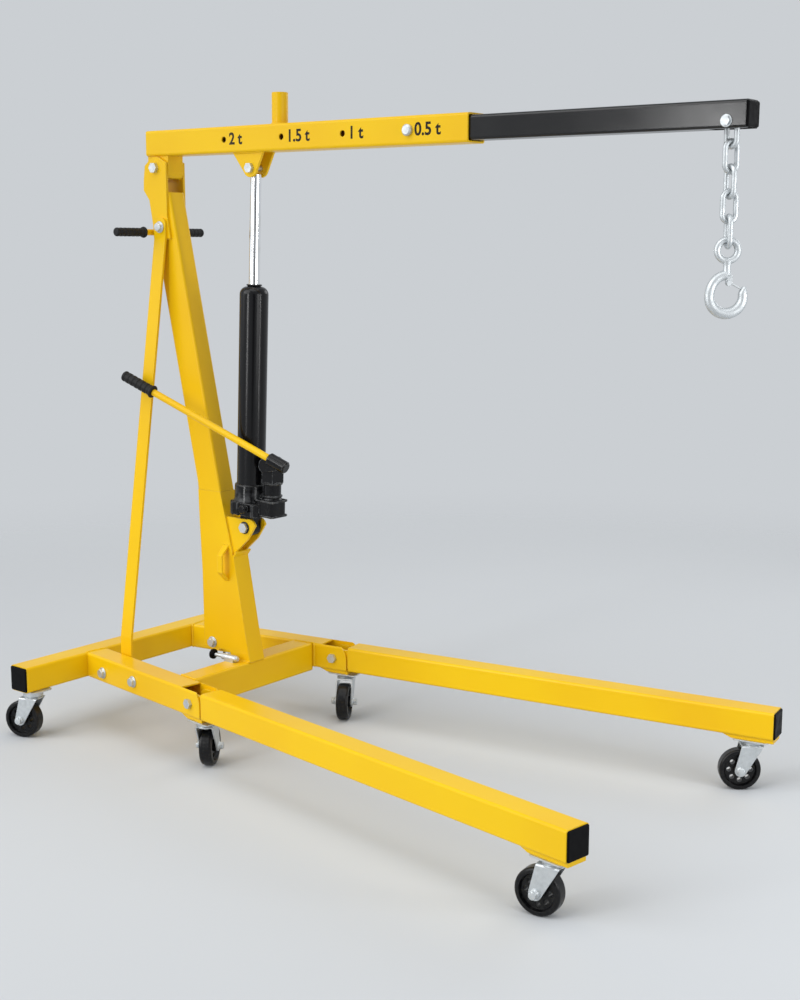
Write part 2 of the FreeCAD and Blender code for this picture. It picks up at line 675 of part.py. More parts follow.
def caster_wheel():
    """Wheel: hub, thin web with a ring of holes, and a rim with rounded shoulders."""
    bore, hub, rim = WHEEL_BORE / 2, WHEEL_HUB_D / 2, WHEEL_RIM_R
    hub_half, web_half, half = WHEEL_HUB_W / 2, WHEEL_WEB_W / 2, WHEEL_W / 2
    round_r = WHEEL_SHOULDER
    near = round_r * (1 - math.sqrt(0.5))
    tread = half - round_r
    section = [(bore, -hub_half), (hub - 1, -hub_half), (hub, -hub_half + 1), (hub, -web_half), (rim - 1, -web_half),
               (rim + 2, -half), (WHEEL_R - round_r, -half),
               (WHEEL_R - near, -half + near, WHEEL_R, -tread),
               (WHEEL_R, tread), (WHEEL_R - near, half - near, WHEEL_R - round_r, half), (rim + 2, half),
               (rim - 1, web_half), (hub, web_half), (hub, hub_half - 1), (hub - 1, hub_half),
               (bore, hub_half)]
    wheel = spun(section, (0, 0, 0), (0, 1, 0))
    for k in range(WHEEL_HOLES):
        angle = 2 * math.pi * k / WHEEL_HOLES
        x, z = WHEEL_HOLE_R * math.cos(angle), WHEEL_HOLE_R * math.sin(angle)
        wheel = wheel.cut(rod(WHEEL_HOLE_D, (x, -half, z), (x, half, z)))
    wheel.translate(Vector(CASTER_TRAIL, 0, WHEEL_R))
    return wheel


def build_casters():
    """Swivel casters: plates on the frame, forks that swivel and wheels that roll."""
    fork, wheel = caster_fork(), caster_wheel()
    plates = {"base": [], "leg_right": [], "leg_left": []}
    for name in CASTER_PLACES:
        x, y, trail = caster_place(name)
        top = UNDERSIDE_Z
        if not name.startswith("rear"):
            top -= PAD_THICK
        if name.startswith("front"):
            top += LEG_GAP
        under = top - PLATE_THICK
        plate = box(-PLATE_LONG / 2, PLATE_LONG / 2, -PLATE_WIDE / 2, PLATE_WIDE / 2, under, top)
        plate = plate.makeFillet(PLATE_CORNER, edges_along(plate, (0, 0, 1)))
        low = FORK_TOP_Z + RACE_GAP
        race = spun([(0, low), (RACE_D / 2 - 3, low), (RACE_D / 2, low + 3),
                     (RACE_D / 2, under - RACE_FLARE),
                     (RACE_D / 2 + RACE_FLARE, under), (0, under)], (0, 0, 0), (0, 0, 1))
        fixed = joined([plate, race])
        if not name.startswith("rear"):
            fixed.rotate(Vector(0, 0, 0), Vector(0, 0, 1), SPLAY * SIDES[name.split("_")[1]])
        fixed.translate(Vector(x, y, 0))
        owner = "leg_" + name.split("_")[1] if name.startswith("front") else "base"
        plates[owner].append(fixed)
        for part, node in ((fork, "caster_fork_"), (wheel, "caster_wheel_")):
            piece = turned(part, (0, 0, 0), (0, 0, 1), trail)
            piece.translate(Vector(x, y, 0))
            write(node + name, piece)
    write("caster_plates", *plates["base"])
    for side in SIDES:
        write("leg_%s_caster_plate" % side, *plates["leg_" + side])


# Boom and extension


def dipped(shape):
    """Boom pieces are drawn level and set to the boom's slight dip about the pivot."""
    return turned(shape, (PIVOT_X, 0, PIVOT_Z), (0, 1, 0), BOOM_DIP)


def build_boom():
    """Boom tube with its pivot lug, clevis, upright stub and load bolt."""
    half = BOOM_SIDE / 2
    under = BOOM_Z - half
    tube = square_tube(BOOM_REAR, BOOM_FRONT, BOOM_SIDE, BOOM_SIDE, BOOM_WALL, under)
    lug = box(BOOM_REAR, LUG_FRONT, -LUG_W / 2, LUG_W / 2, LUG_BOTTOM, under)
    lug = lug.makeFillet(LUG_ROUND, [e for e in edges_along(lug, (0, 1, 0)) if e.CenterOfMass.z < LUG_BOTTOM + 1])
    room = LUG_W / 2 - LUG_WALL
    lug = lug.cut(box(BOOM_REAR - 1, LUG_FRONT - LUG_WALL, -room, room, LUG_BOTTOM - 1, under - LUG_WALL))
    boom = joined([tube, lug])
    boom = boom.cut(rod(PIVOT_BOLT_D + 2 * FIT, (PIVOT_X, -THROUGH, PIVOT_Z), (PIVOT_X, THROUGH, PIVOT_Z)))
    for k in range(HOLE_COUNT):
        x = HOLE_FIRST + k * HOLE_STEP
        boom = boom.cut(rod(HOLE_D, (x, -THROUGH, BOOM_Z), (x, THROUGH, BOOM_Z)))
    write("boom_tube", dipped(boom))

    outline = hanging_eye((CLEVIS_REAR, under), (CLEVIS_FRONT, under), RAM_HEAD, CLEVIS_EYE_R)
    outer = CLEVIS_INNER + CLEVIS_THICK
    hole = rod(HEAD_PIN_D + 2 * FIT, (RAM_HEAD[0], -THROUGH, RAM_HEAD[1]),
               (RAM_HEAD[0], THROUGH, RAM_HEAD[1]))
    plates = []
    for side in SIDES.values():
        y0, y1 = sorted((side * CLEVIS_INNER, side * outer))
        plates.append(dipped(side_plate(outline, y0, y1).cut(hole)))
    write("ram_clevis", *plates)
    pin = hex_bolt((RAM_HEAD[0], -outer, RAM_HEAD[1]), (RAM_HEAD[0], outer, RAM_HEAD[1]), HEAD_PIN_D)
    write("ram_head_pin", dipped(pin))

    top = BOOM_Z + half
    stub = spun([(STUB_ID / 2, top), (STUB_OD / 2, top), (STUB_OD / 2, top + STUB_TALL - 1),
                 (STUB_OD / 2 - 1, top + STUB_TALL), (STUB_ID / 2, top + STUB_TALL)],
                (STUB_X, 0, 0), (0, 0, 1))
    write("boom_stub", dipped(stub))

    x = HOLE_FIRST + (HOLE_COUNT - 1) * HOLE_STEP
    inner = EXT_SIDE / 2 + LOAD_GAP
    shank_r, head_r = HOLE_D / 2 - FIT, LOAD_HEAD_D / 2
    end = spun([(0, inner), (shank_r, inner), (shank_r, half), (head_r, half),
                (head_r, half + LOAD_HEAD - 3),
                (head_r - 3, half + LOAD_HEAD), (0, half + LOAD_HEAD)], (x, 0, BOOM_Z), (0, 1, 0))
    write("load_bolt", dipped(end), dipped(turned(end, (x, 0, BOOM_Z), (0, 0, 1), 180)))


def build_extension():
    """Sliding extension, its end cap and the bolt that carries the chain."""
    half = EXT_SIDE / 2
    tube = square_tube(EXT_REAR, EXT_FRONT, EXT_SIDE, EXT_SIDE, EXT_WALL, BOOM_Z - half)
    bolt_z = BOOM_Z - HOOK_BOLT_DROP
    tube = tube.cut(rod(HOOK_BOLT_D + 2 * FIT, (HOOK_BOLT_X, -THROUGH, bolt_z),
                        (HOOK_BOLT_X, THROUGH, bolt_z)))
    tube = tube.cut(box(HOOK_BOLT_X - CHAIN_SLOT_BEHIND, EXT_FRONT + 1, -CHAIN_SLOT_WIDE / 2,
                        CHAIN_SLOT_WIDE / 2,
                        BOOM_Z - half - 1, BOOM_Z - half + EXT_WALL + 1))
    write("extension_tube", dipped(tube))
    write("extension_cap", dipped(end_cap(EXT_FRONT, EXT_SIDE, EXT_SIDE, BOOM_Z - half)))
    write("hook_bolt", dipped(hex_bolt((HOOK_BOLT_X, -half, bolt_z), (HOOK_BOLT_X, half, bolt_z),
                                       HOOK_BOLT_D)))


def hook_bolt_point():
    """Middle of the hook bolt after the boom's dip."""
    dip = Rotation(Vector(0, 1, 0), BOOM_DIP)
    pivot = Vector(PIVOT_X, 0, PIVOT_Z)
    return pivot + dip.multVec(Vector(HOOK_BOLT_X, 0, BOOM_Z - HOOK_BOLT_DROP) - pivot)


def chain_link():
    """One link in the XZ plane with the inside of its upper bend at the origin."""
    r = (LINK_INNER_W + LINK_WIRE) / 2
    straight = LINK_INNER_L - LINK_INNER_W
    top = -LINK_INNER_W / 2
    low = top - straight
    path = Part.Wire([
        Part.Arc(Vector(r, 0, top), Vector(0, 0, top + r), Vector(-r, 0, top)).toShape(),
        Part.LineSegment(Vector(-r, 0, top), Vector(-r, 0, low)).toShape(),
        Part.Arc(Vector(-r, 0, low), Vector(0, 0, low - r), Vector(r, 0, low)).toShape(),
        Part.LineSegment(Vector(r, 0, low), Vector(r, 0, top)).toShape(),
    ])
    section = Part.Wire(Part.makeCircle(LINK_WIRE / 2, Vector(r, 0, top), Vector(0, 0, 1)))
    return path.makePipeShell([section], True, False)


def hook_sections(neck_z, bowl_z):
    """Round sections along the hook: quarter of an ellipse from the neck, half a circle, a drawn-out tip."""
    tall = neck_z - bowl_z
    sections = []
    for degrees in range(0, 90, 15):
        t = math.radians(degrees)
        place = Vector(-HOOK_BOWL_R * math.sin(t), 0, bowl_z + tall * math.cos(t))
        sections.append((place, Vector(-HOOK_BOWL_R * math.cos(t), 0, -tall * math.sin(t)), HOOK_STEEL_R))
    for degrees in range(0, 181, 20):
        t = math.radians(degrees)
        place = Vector(-HOOK_BOWL_R * math.cos(t), 0, bowl_z - HOOK_BOWL_R * math.sin(t))
        sections.append((place, Vector(math.sin(t), 0, -math.cos(t)),
                         HOOK_STEEL_R + HOOK_SWELL * math.sin(t)))
    tip = Vector(HOOK_BOWL_R + HOOK_TIP_OUT, 0, bowl_z + HOOK_TIP_TALL)
    sections.append((tip, Vector(HOOK_TIP_OUT, 0, HOOK_TIP_TALL), HOOK_TIP_R))
    return [Part.Wire(Part.makeCircle(r, place, along)) for place, along, r in sections]


def build_chain_and_hook():
    """Chain of turned links on the hook bolt, and the forged hook on the last link."""
    at = hook_bolt_point()
    link = chain_link()
    z = at.z + HOOK_BOLT_D / 2 + LINK_PLAY
    links = []
    for turn in LINK_TURNS:
        piece = turned(link, (0, 0, 0), (0, 0, 1), turn)
        piece.translate(Vector(at.x, 0, z))
        links.append(piece)
        z -= LINK_INNER_L - LINK_PLAY
    write("chain", *links)

    eye_z = z + LINK_PLAY - EYE_R + EYE_WIRE / 2
    eye = Part.makeTorus(EYE_R, EYE_WIRE / 2, Vector(0, 0, eye_z), Vector(0, 1, 0))
    neck_z = eye_z - EYE_R - HOOK_SHANK
    bowl_z = neck_z - HOOK_BOWL_R - HOOK_NECK
    forged = Part.makeLoft(hook_sections(neck_z, bowl_z), True, False)
    flare, middle = HOOK_STEEL_R, neck_z + HOOK_SHANK / 2
    shank = spun([(0, neck_z - flare / 2), (flare, neck_z),
                  (HOOK_SHANK_R, middle, flare, neck_z + HOOK_SHANK),
                  (0, neck_z + HOOK_SHANK)], (0, 0, 0), (0, 0, 1))
    latch_at = (LATCH_PIVOT[0], neck_z + LATCH_PIVOT[1])
    half = LATCH_LUG_WIDE / 2
    lug = side_plate(hanging_eye((latch_at[0] - LATCH_LUG_R, neck_z), (latch_at[0] + LATCH_LUG_R, neck_z),
                                 latch_at,
                                 LATCH_LUG_R - 0.1), -half, half)
    hook = joined([eye, shank, forged, lug])
    hook = hook.cut(rod(LATCH_RIVET_D + 2 * FIT, (latch_at[0], -20, latch_at[1]),
                        (latch_at[0], 20, latch_at[1])))
    hook = turned(hook, (0, 0, 0), (0, 0, 1), HOOK_TURN)
    hook.translate(Vector(at.x, 0, 0))
    write("hook", hook)
    build_latch(at, latch_at, bowl_z)


def build_latch(at, pivot, bowl_z):
    """Sprung latch: cheeks riveted to the hook's lug, and a blade to the inside of the tip."""
    px, pz = pivot
    end_x, end_z = HOOK_BOWL_R - LATCH_END[0], bowl_z + LATCH_END[1]
    slope = math.degrees(math.atan2(end_z - pz, end_x - px))
    reach = math.hypot(end_x - px, end_z - pz)
    half = LATCH_WIDE / 2
    shapes = [box(LATCH_LUG_R + 1, reach, -half, half, 0, LATCH_THICK)]
    for side in SIDES.values():
        y0, y1 = sorted((side * half, side * (LATCH_LUG_WIDE / 2 + LATCH_PLAY)))
        shapes.append(rod(2 * LATCH_LUG_R - 2, (0, y0, 0), (0, y1, 0)))
        shapes.append(box(0, LATCH_LUG_R + 3, y0, y1, 0, LATCH_THICK))
    shapes.append(rod(LATCH_RIVET_D, (0, -half, 0), (0, half, 0)))
    latch = turned(joined(shapes), (0, 0, 0), (0, 1, 0), -slope)
    latch.translate(Vector(px, 0, pz))
    latch = turned(latch, (0, 0, 0), (0, 0, 1), HOOK_TURN)
    latch.translate(Vector(at.x, 0, 0))
    write("hook_latch", latch)


# Ram and pump


def ram_lean():
    """Forward lean of the ram in degrees."""
    return math.degrees(math.atan2(RAM_HEAD[0] - RAM_FOOT[0], RAM_HEAD[1] - RAM_FOOT[1]))


def leaned(shape):
    """Ram pieces are drawn upright from the foot pin and leaned into place."""
    copy = turned(shape, (0, 0, 0), (0, 1, 0), ram_lean())
    copy.translate(Vector(RAM_FOOT[0], 0, RAM_FOOT[1]))
    return copy


def build_ram():
    """Cylinder with a domed head and gland, and the chromed rod in it."""
    r = CYLINDER_D / 2
    bore = ROD_D / 2 + FIT
    bend = CYLINDER_DOME * (1 - math.sqrt(0.5))
    high = CYLINDER_TOP + GLAND_TALL
    floor = CYLINDER_BOTTOM + CYLINDER_FLOOR
    section = [(0, CYLINDER_BOTTOM), (r, CYLINDER_BOTTOM), (r, CYLINDER_TOP - CYLINDER_DOME),
               (r - bend, CYLINDER_TOP - bend, r - CYLINDER_DOME, CYLINDER_TOP)]
    gland = ROD_D / 2 + GLAND_WALL
    section += [(gland, high - GLAND_CHAMFER), (gland - GLAND_CHAMFER, high), (bore, high), (bore, floor),
                (0, floor)]
    write("ram_cylinder", leaned(spun(section, (0, 0, 0), (0, 0, 1))))

    length = math.hypot(RAM_HEAD[0] - RAM_FOOT[0], RAM_HEAD[1] - RAM_FOOT[1])
    top = length - HEAD_PIN_D / 2 - ROD_END_GAP
    shaft = spun([(0, ROD_FOOT), (ROD_D / 2, ROD_FOOT), (ROD_D / 2, top - ROD_CHAMFER),
                  (ROD_D / 2 - ROD_CHAMFER, top), (0, top)], (0, 0, 0), (0, 0, 1))
    write("ram_rod", leaned(shaft))


def cast_block(x0, x1, half, z0, z1):
    """Cast block with drawn corners and a rounded upper edge."""
    block = box(x0, x1, -half, half, z0, z1)
    block = block.makeFillet(CASTING_CORNER, edges_along(block, (0, 0, 1)))
    rim = [e for e in block.Edges if abs(e.CenterOfMass.z - z1) < 0.01]
    return block.makeFillet(CASTING_EDGE, rim)


def build_pump_base():
    """Cast base: foot eye, block under the cylinder, shoe with the pump's column, ribs and release valve."""
    eye = rod(FOOT_EYE_D, (0, -FOOT_EYE_HALF, 0), (0, FOOT_EYE_HALF, 0))
    neck = box(-FOOT_EYE_D / 2, FOOT_EYE_D / 2, -FOOT_EYE_HALF, FOOT_EYE_HALF, 0, CASTING_LOW + 2)
    block = cast_block(-CASTING_HALF, CASTING_HALF + CASTING_CORNER, CASTING_HALF, CASTING_LOW,
                       CYLINDER_BOTTOM)
    shoe = cast_block(CYLINDER_D / 2 + 2, SHOE_FRONT, SHOE_HALF, CASTING_LOW + 4, SHOE_TOP)
    column_r, flange_r = COLUMN_D / 2, COLUMN_FLANGE_D / 2
    ring = COLUMN_RING
    column = spun([(0, SHOE_TOP - 2), (flange_r, SHOE_TOP - 2), (flange_r, SHOE_TOP + ring / 2),
                   (column_r, SHOE_TOP + ring), (column_r, COLUMN_TOP - 2 * ring),
                   (flange_r - 3, COLUMN_TOP - 1.5 * ring),
                   (flange_r - 3, COLUMN_TOP - ring / 2), (column_r, COLUMN_TOP), (0, COLUMN_TOP)],
                  (PUMP_X, 0, 0), (0, 0, 1))
    post = side_plate([(PUMP_X - POST_WIDE / 2, COLUMN_TOP - 2), (PUMP_X + POST_WIDE / 2, COLUMN_TOP - 2),
                       (PUMP_X + POST_WIDE / 2, PUMP_PIVOT_Z),
                       (PUMP_X, PUMP_PIVOT_Z + POST_WIDE / 2, PUMP_X - POST_WIDE / 2, PUMP_PIVOT_Z)],
                      -POST_HALF + 0.5, POST_HALF - 0.5)
    valve_x, valve_z = VALVE_PLACE
    valve_r = VALVE_D / 2
    valve = spun([(0, CASTING_HALF - 2), (valve_r, CASTING_HALF - 2),
                  (valve_r, CASTING_HALF + VALVE_LONG / 2),
                  (valve_r + 3, CASTING_HALF + VALVE_LONG / 2),
                  (valve_r + 3, CASTING_HALF + VALVE_LONG - 2),
                  (valve_r + 1, CASTING_HALF + VALVE_LONG), (0, CASTING_HALF + VALVE_LONG)],
                 (valve_x, 0, valve_z), (0, -1, 0))
    rib_rear, rib_front = CYLINDER_D / 2 + 2, PUMP_X - column_r + 4
    shapes = [eye, neck, block, shoe, column, post, valve]
    for y in (-RIB_THICK, RIB_THICK):
        outline = [(rib_rear, CYLINDER_BOTTOM - 4), (rib_front, CYLINDER_BOTTOM - 4),
                   (rib_front, COLUMN_TOP - 3 * ring),
                   (rib_front - 12, CYLINDER_BOTTOM + 18, rib_rear, CYLINDER_BOTTOM + 8)]
        shapes.append(side_plate(outline, y - RIB_THICK / 4, y + RIB_THICK / 4))
    base = joined(shapes)
    base = base.cut(rod(RAM_PIN_D + 2 * FIT, (0, -THROUGH, 0), (0, THROUGH, 0)))
    base = base.cut(rod(HANDLE_AXLE_D + 2 * FIT, (PUMP_X, -THROUGH, PUMP_PIVOT_Z),
                        (PUMP_X, THROUGH, PUMP_PIVOT_Z)))
    write("pump_base", leaned(base))


def beside_pump(z):
    """Point beside the pump's post, at a height along the leaning ram."""
    lean = Rotation(Vector(0, 1, 0), ram_lean())
    return Vector(RAM_FOOT[0], 0, RAM_FOOT[1]) + lean.multVec(Vector(PUMP_X, HANDLE_Y, z))


def build_pump_handle():
    """Handle bar with a grip, ending on a socket whose arm rocks on the pump's post below it."""
    r, edge = SOCKET_D / 2, SOCKET_EDGE
    barrel = spun([(0, SOCKET_BACK), (r - edge, SOCKET_BACK), (r, SOCKET_BACK + edge),
                   (r, SOCKET_FRONT - edge),
                   (r - edge, SOCKET_FRONT), (0, SOCKET_FRONT)], (0, 0, 0), (1, 0, 0))
    bar = rod(HANDLE_D, (SOCKET_BACK, 0, 0), (-HANDLE_LENGTH, 0, 0))
    closed = GRIP_FLANGE_LONG + GRIP_BLIND
    section = grip_profile(HANDLE_GRIP_LENGTH, HANDLE_D / 2 + FIT, HANDLE_GRIP_D / 2, HANDLE_GRIP_D / 2 + 3,
                           closed)
    grip = spun(section, (-HANDLE_LENGTH + closed, 0, 0), (-1, 0, 0))
    line, pivot = beside_pump(PUMP_PIVOT_Z + HANDLE_LIFT), beside_pump(PUMP_PIVOT_Z)
    placed = []
    for shape in (barrel, bar, grip):
        shape = turned(turned(shape, (0, 0, 0), (0, 0, 1), HANDLE_SWING), (0, 0, 0), (0, 1, 0), HANDLE_RISE)
        shape.translate(line)
        placed.append(shape)
    barrel, bar, grip = placed
    beside, boss_r = HANDLE_D / 2 + 1, SOCKET_BOSS_D / 2
    boss = rod(SOCKET_BOSS_D, (0, beside, 0), (0, SOCKET_BOSS_INNER, 0))
    axle = rod(HANDLE_AXLE_D, (0, beside, 0), (0, POST_HALF + 2 - HANDLE_Y, 0))
    arm = side_plate([(0, boss_r), (SOCKET_BACK + r, HANDLE_LIFT / 6), (SOCKET_BACK + r, -boss_r / 2),
                      (0, -boss_r)],
                     beside, SOCKET_BOSS_INNER)
    rocker = joined([boss, axle, arm])
    rocker.translate(pivot)
    write("handle_socket", joined([rocker, barrel]))
    write("pump_handle", bar)
    write("pump_handle_grip", grip)


# Small pieces beside the pedestal


def build_lock_pin():
    """Spring pin in its saddle on the crossmember, with a knob, and the bent loop that stores the handle."""
    x0, x1, y = LOCK_PIN
    r = LOCK_PIN_D / 2
    z = UNDERSIDE_Z + TUBE_H + LOCK_PIN_RISE
    housing = LOCK_SADDLE[0] - 12 - x0
    length = x1 - x0
    pin = spun([(0, 0), (LOCK_STEM_D / 2, 0), (LOCK_STEM_D / 2, housing), (r, housing), (r, length - 4),
                (r - 3, length), (0, length)], (x0, y, z), (1, 0, 0))
    saddle = box(*LOCK_SADDLE, y - r, y + r, UNDERSIDE_Z + TUBE_H, z)
    write("lock_pin", joined([pin, saddle]))
    knob_r, long = LOCK_KNOB_D / 2, LOCK_KNOB_LONG
    knob = spun([(0, 0), (knob_r * 0.6, 0), (knob_r * 0.6, 3), (knob_r, 5), (knob_r, long - 3),
                 (knob_r - 3, long), (0, long)],
                (x0, y, z), (-1, 0, 0))
    write("lock_knob", knob)
    face = -MAST_W / 2
    lx, lz0, lz1 = LOOP
    out, strip = LOOP_OUT, LOOP_STRIP
    outline = [(face, lz1), (face - out, lz1 - out), (face - out, lz0 + out), (face, lz0),
               (face, lz0 + 1.4 * strip),
               (face - out + strip, lz0 + out + 0.5 * strip), (face - out + strip, lz1 - out - 0.5 * strip),
               (face, lz1 - 1.4 * strip)]
    points = [Vector(lx - LOOP_WIDE / 2, v, w) for v, w in outline]
    write("handle_loop", Part.Face(Part.makePolygon(points + points[:1])).extrude(Vector(LOOP_WIDE, 0, 0)))


os.makedirs("parts", exist_ok=True)
build_crossbar()
build_rails()
build_crossmember()
build_mast()
build_pedestal()
build_braces()
build_push_handle()
build_fasteners()
build_legs()
build_casters()
build_boom()
build_extension()
build_chain_and_hook()
build_ram()
build_pump_base()
build_pump_handle()
build_lock_pin()
print("X", min(b.XMin for b in BOXES), max(b.XMax for b in BOXES))
print("Y", min(b.YMin for b in BOXES), max(b.YMax for b in BOXES))
print("Z", min(b.ZMin for b in BOXES), max(b.ZMax for b in BOXES))
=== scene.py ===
"""Looks of a folding workshop crane: enamel, castings, zinc plate, grips, fasteners and a studio stage.

Every length is in metres in the crane's own frame: +X along the boom to the hook, +Y to its left, +Z up.
"""

import json
import math

import bmesh
import bpy
import numpy as np
from bpy.props import FloatProperty, FloatVectorProperty, PointerProperty
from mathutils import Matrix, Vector


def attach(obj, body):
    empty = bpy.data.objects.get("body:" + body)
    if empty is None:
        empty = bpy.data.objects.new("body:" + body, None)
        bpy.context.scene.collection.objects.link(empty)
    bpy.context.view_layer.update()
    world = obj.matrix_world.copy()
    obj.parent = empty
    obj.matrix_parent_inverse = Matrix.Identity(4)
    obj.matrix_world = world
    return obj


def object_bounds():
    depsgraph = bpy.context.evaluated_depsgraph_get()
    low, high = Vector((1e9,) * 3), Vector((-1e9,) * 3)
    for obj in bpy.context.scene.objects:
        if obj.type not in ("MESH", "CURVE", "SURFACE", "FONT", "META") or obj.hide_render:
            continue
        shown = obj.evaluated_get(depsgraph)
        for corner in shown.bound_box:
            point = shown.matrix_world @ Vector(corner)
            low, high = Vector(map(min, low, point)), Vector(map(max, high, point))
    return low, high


bl_info = {
    "name": "Workshop Crane Looks",
    "version": (1, 0, 0),
    "blender": (4, 5, 0),
    "location": "3D View > Sidebar > Crane",
    "description": "Finishes, fasteners and a studio stage for a folding workshop crane",
    "category": "Object",
}

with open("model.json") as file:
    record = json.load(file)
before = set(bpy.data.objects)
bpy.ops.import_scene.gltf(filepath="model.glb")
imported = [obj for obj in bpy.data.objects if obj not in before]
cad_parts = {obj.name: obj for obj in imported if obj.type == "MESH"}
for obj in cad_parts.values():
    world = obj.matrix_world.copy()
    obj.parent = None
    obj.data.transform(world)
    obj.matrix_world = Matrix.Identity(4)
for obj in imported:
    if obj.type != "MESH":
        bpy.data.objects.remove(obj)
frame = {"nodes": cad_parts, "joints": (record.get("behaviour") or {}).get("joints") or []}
CAD_BOX = [list(corner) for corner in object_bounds()]
MM = 0.001
IMAGE_HEIGHT = 1000.0
MIDDLE_CASTERS_X = -313.82 * MM
SIDES = (-1.0, 1.0)
JOINTS = {joint["name"]: joint for joint in frame["joints"]}
CASTERS = ("rear_right", "rear_left", "mid_right", "mid_left", "front_right", "front_left")

# Places on the frame in millimetres, with X counted from the middle casters
RAIL_LEAN = math.radians(8.7)
RAIL_MIDDLE_Y = 248.0
RAIL_REAR_X = -453.5
RAIL_LOW = 124.5
RAIL_HIGH = 187.5
TUBE_HALF = 30.5
CROSSMEMBER_REAR_X = -131.5
CROSSMEMBER_FRONT_X = -70.5
# X and outward distance of the two upright welds at each joint of a rail, with a third one across their tops
RAIL_WELDS = (((CROSSMEMBER_REAR_X, -TUBE_HALF), (CROSSMEMBER_FRONT_X, -TUBE_HALF)),
              ((RAIL_REAR_X, -TUBE_HALF), (RAIL_REAR_X, TUBE_HALF)))
# X and Z of the bolts on each rail's outer side
RAIL_BOLTS = ((-378.0, 150.0), (-245.0, 157.0))
# X, distance from the middle plane and Z of a bolt's seat
PEDESTAL_BOLT = (-195.0, 25.0, 219.0)
BRACE_BOLT = (-334.0, 37.0, 1234.0)
# From the middle of a pin or an axle to the seat of its washer, black ring or nut
HOOK_WASHER_SEAT = 25.0
RAM_RING_SEAT = 20.0
AXLE_NUT_SEAT = 25.4
PEDESTAL_HALF = 25.0
PEDESTAL_REAR_X = -131.0
PEDESTAL_FRONT_X = -71.0
# Half the length of the welds that run across
ACROSS_WELD_HALF = 24.0
# X and Z at the top and the bottom of the weld beside the pedestal's ears
EAR_WELD = ((-146.0, 540.0), (-129.0, 460.0))
EAR_WELD_Y = 20.0
CHEEK_WELD_X = (-360.0, -307.0)
CHEEK_WELD_Z = 1206.5
PUSH_BAR_X = -370.0
PUSH_BAR_WELDS_Z = (1215.0, 1229.0)

# Places on a level boom, in the same millimetres
BOOM_HALF = 30.0
BOOM_UNDERSIDE = 1403.0
BOOM_MIDDLE_Z = 1433.0
BOOM_TOP = 1463.0
CLEVIS_REAR_X = -99.0
CLEVIS_FRONT_X = -4.0
CLEVIS_WELD_Y = 20.5
STUB_X = 31.0
STUB_WELD_RADIUS = 18.5
FIRST_HOLE_X = -118.5
HOLE_STEP = 180.0
LOADS = ("2 t", "1.5 t", "1 t", "0.5 t")

# Places on the ram, in millimetres from its foot pin
COLLAR_FOOT = 66.0
COLLAR_BORE = 33.5
COLLAR_RADIUS = 39.0
COLLAR_FLARE = 42.0
RIB_X = (-24.0, -6.0, 40.0)
RIB_Y = 37.5
RIB_LOW = 31.0
RIB_HIGH = 66.5
SHOE_HALF = 26.0
SHOE_LOW = 39.5
SHOE_HIGH = 75.0
# Where the shoe's lower and upper edges start
SHOE_STARTS = ((44.0, SHOE_LOW), (40.0, SHOE_HIGH))
SHOE_NOSE_X = 94.0
SHOE_EDGE_END = 95.0
COLUMN_X = 70.0
COLUMN_RADIUS = 21.5
COLUMN_RINGS_Z = (87.0, 117.0)


# Small tools


def linear(hex_colour):
    """Linear RGBA of an sRGB hex colour: the sRGB curve undone on each channel."""
    channels = np.array([int(hex_colour[k:k + 2], 16) for k in (1, 3, 5)]) / 255.0
    curve = np.where(channels <= 0.04045, channels / 12.92, ((channels + 0.055) / 1.055) ** 2.4)
    return (*curve.tolist(), 1.0)


def colour(name, description, hex_colour):
    """Colour property that starts from an sRGB hex value."""
    return FloatVectorProperty(name=name, description=description, subtype="COLOR", size=4, min=0.0, max=1.0,
                               default=linear(hex_colour))


def length(name, description, millimetres):
    """Length property that starts from millimetres."""
    return FloatProperty(name=name, description=description, unit="LENGTH", min=0.0,
                         default=millimetres * MM)


def per_metre(millimetres):
    """Texture scale whose pattern repeats about once in so many millimetres."""
    return 1.0 / (millimetres * MM)


def spot(x, y, z):
    """Point of the frame from millimetres, with X counted from the middle casters."""
    return np.array([x * MM + MIDDLE_CASTERS_X, y * MM, z * MM])


def boom_axes():
    """Directions along the boom and square to its top."""
    along = np.array(JOINTS["extension_slide"]["axis"])
    return along, np.array([-along[2], 0.0, along[0]])


def boom_spot(x, y, z):
    """Point drawn on a level boom, turned about the pivot by the boom's slight dip."""
    pivot = np.array(JOINTS["boom_lift"]["pos_m"])
    along, up = boom_axes()
    offset = spot(x, y, z) - pivot
    return pivot + offset[0] * along + offset[2] * up + np.array([0.0, offset[1], 0.0])


def ram_spot(x, y, z):
    """Point of the leaning ram from millimetres: z up its axis from the foot pin, x forward, y left."""
    up = np.array(JOINTS["ram_stroke"]["axis"])
    forward = np.array([up[2], 0.0, -up[0]])
    return np.array(JOINTS["ram_tilt"]["pos_m"]) + MM * (x * forward + np.array([0.0, y, 0.0]) + z * up)


# Surfaces


def grid_quads(rows, columns, closed=True):
    """Quads of a grid whose last column joins the first one again, unless it is left open."""
    steps = columns if closed else columns - 1
    r, c = np.meshgrid(np.arange(rows - 1), np.arange(steps), indexing="ij")
    following = (c + 1) % columns
    quads = [r * columns + c, r * columns + following, (r + 1) * columns + following, (r + 1) * columns + c]
    return np.stack(quads, -1).reshape(-1, 4)


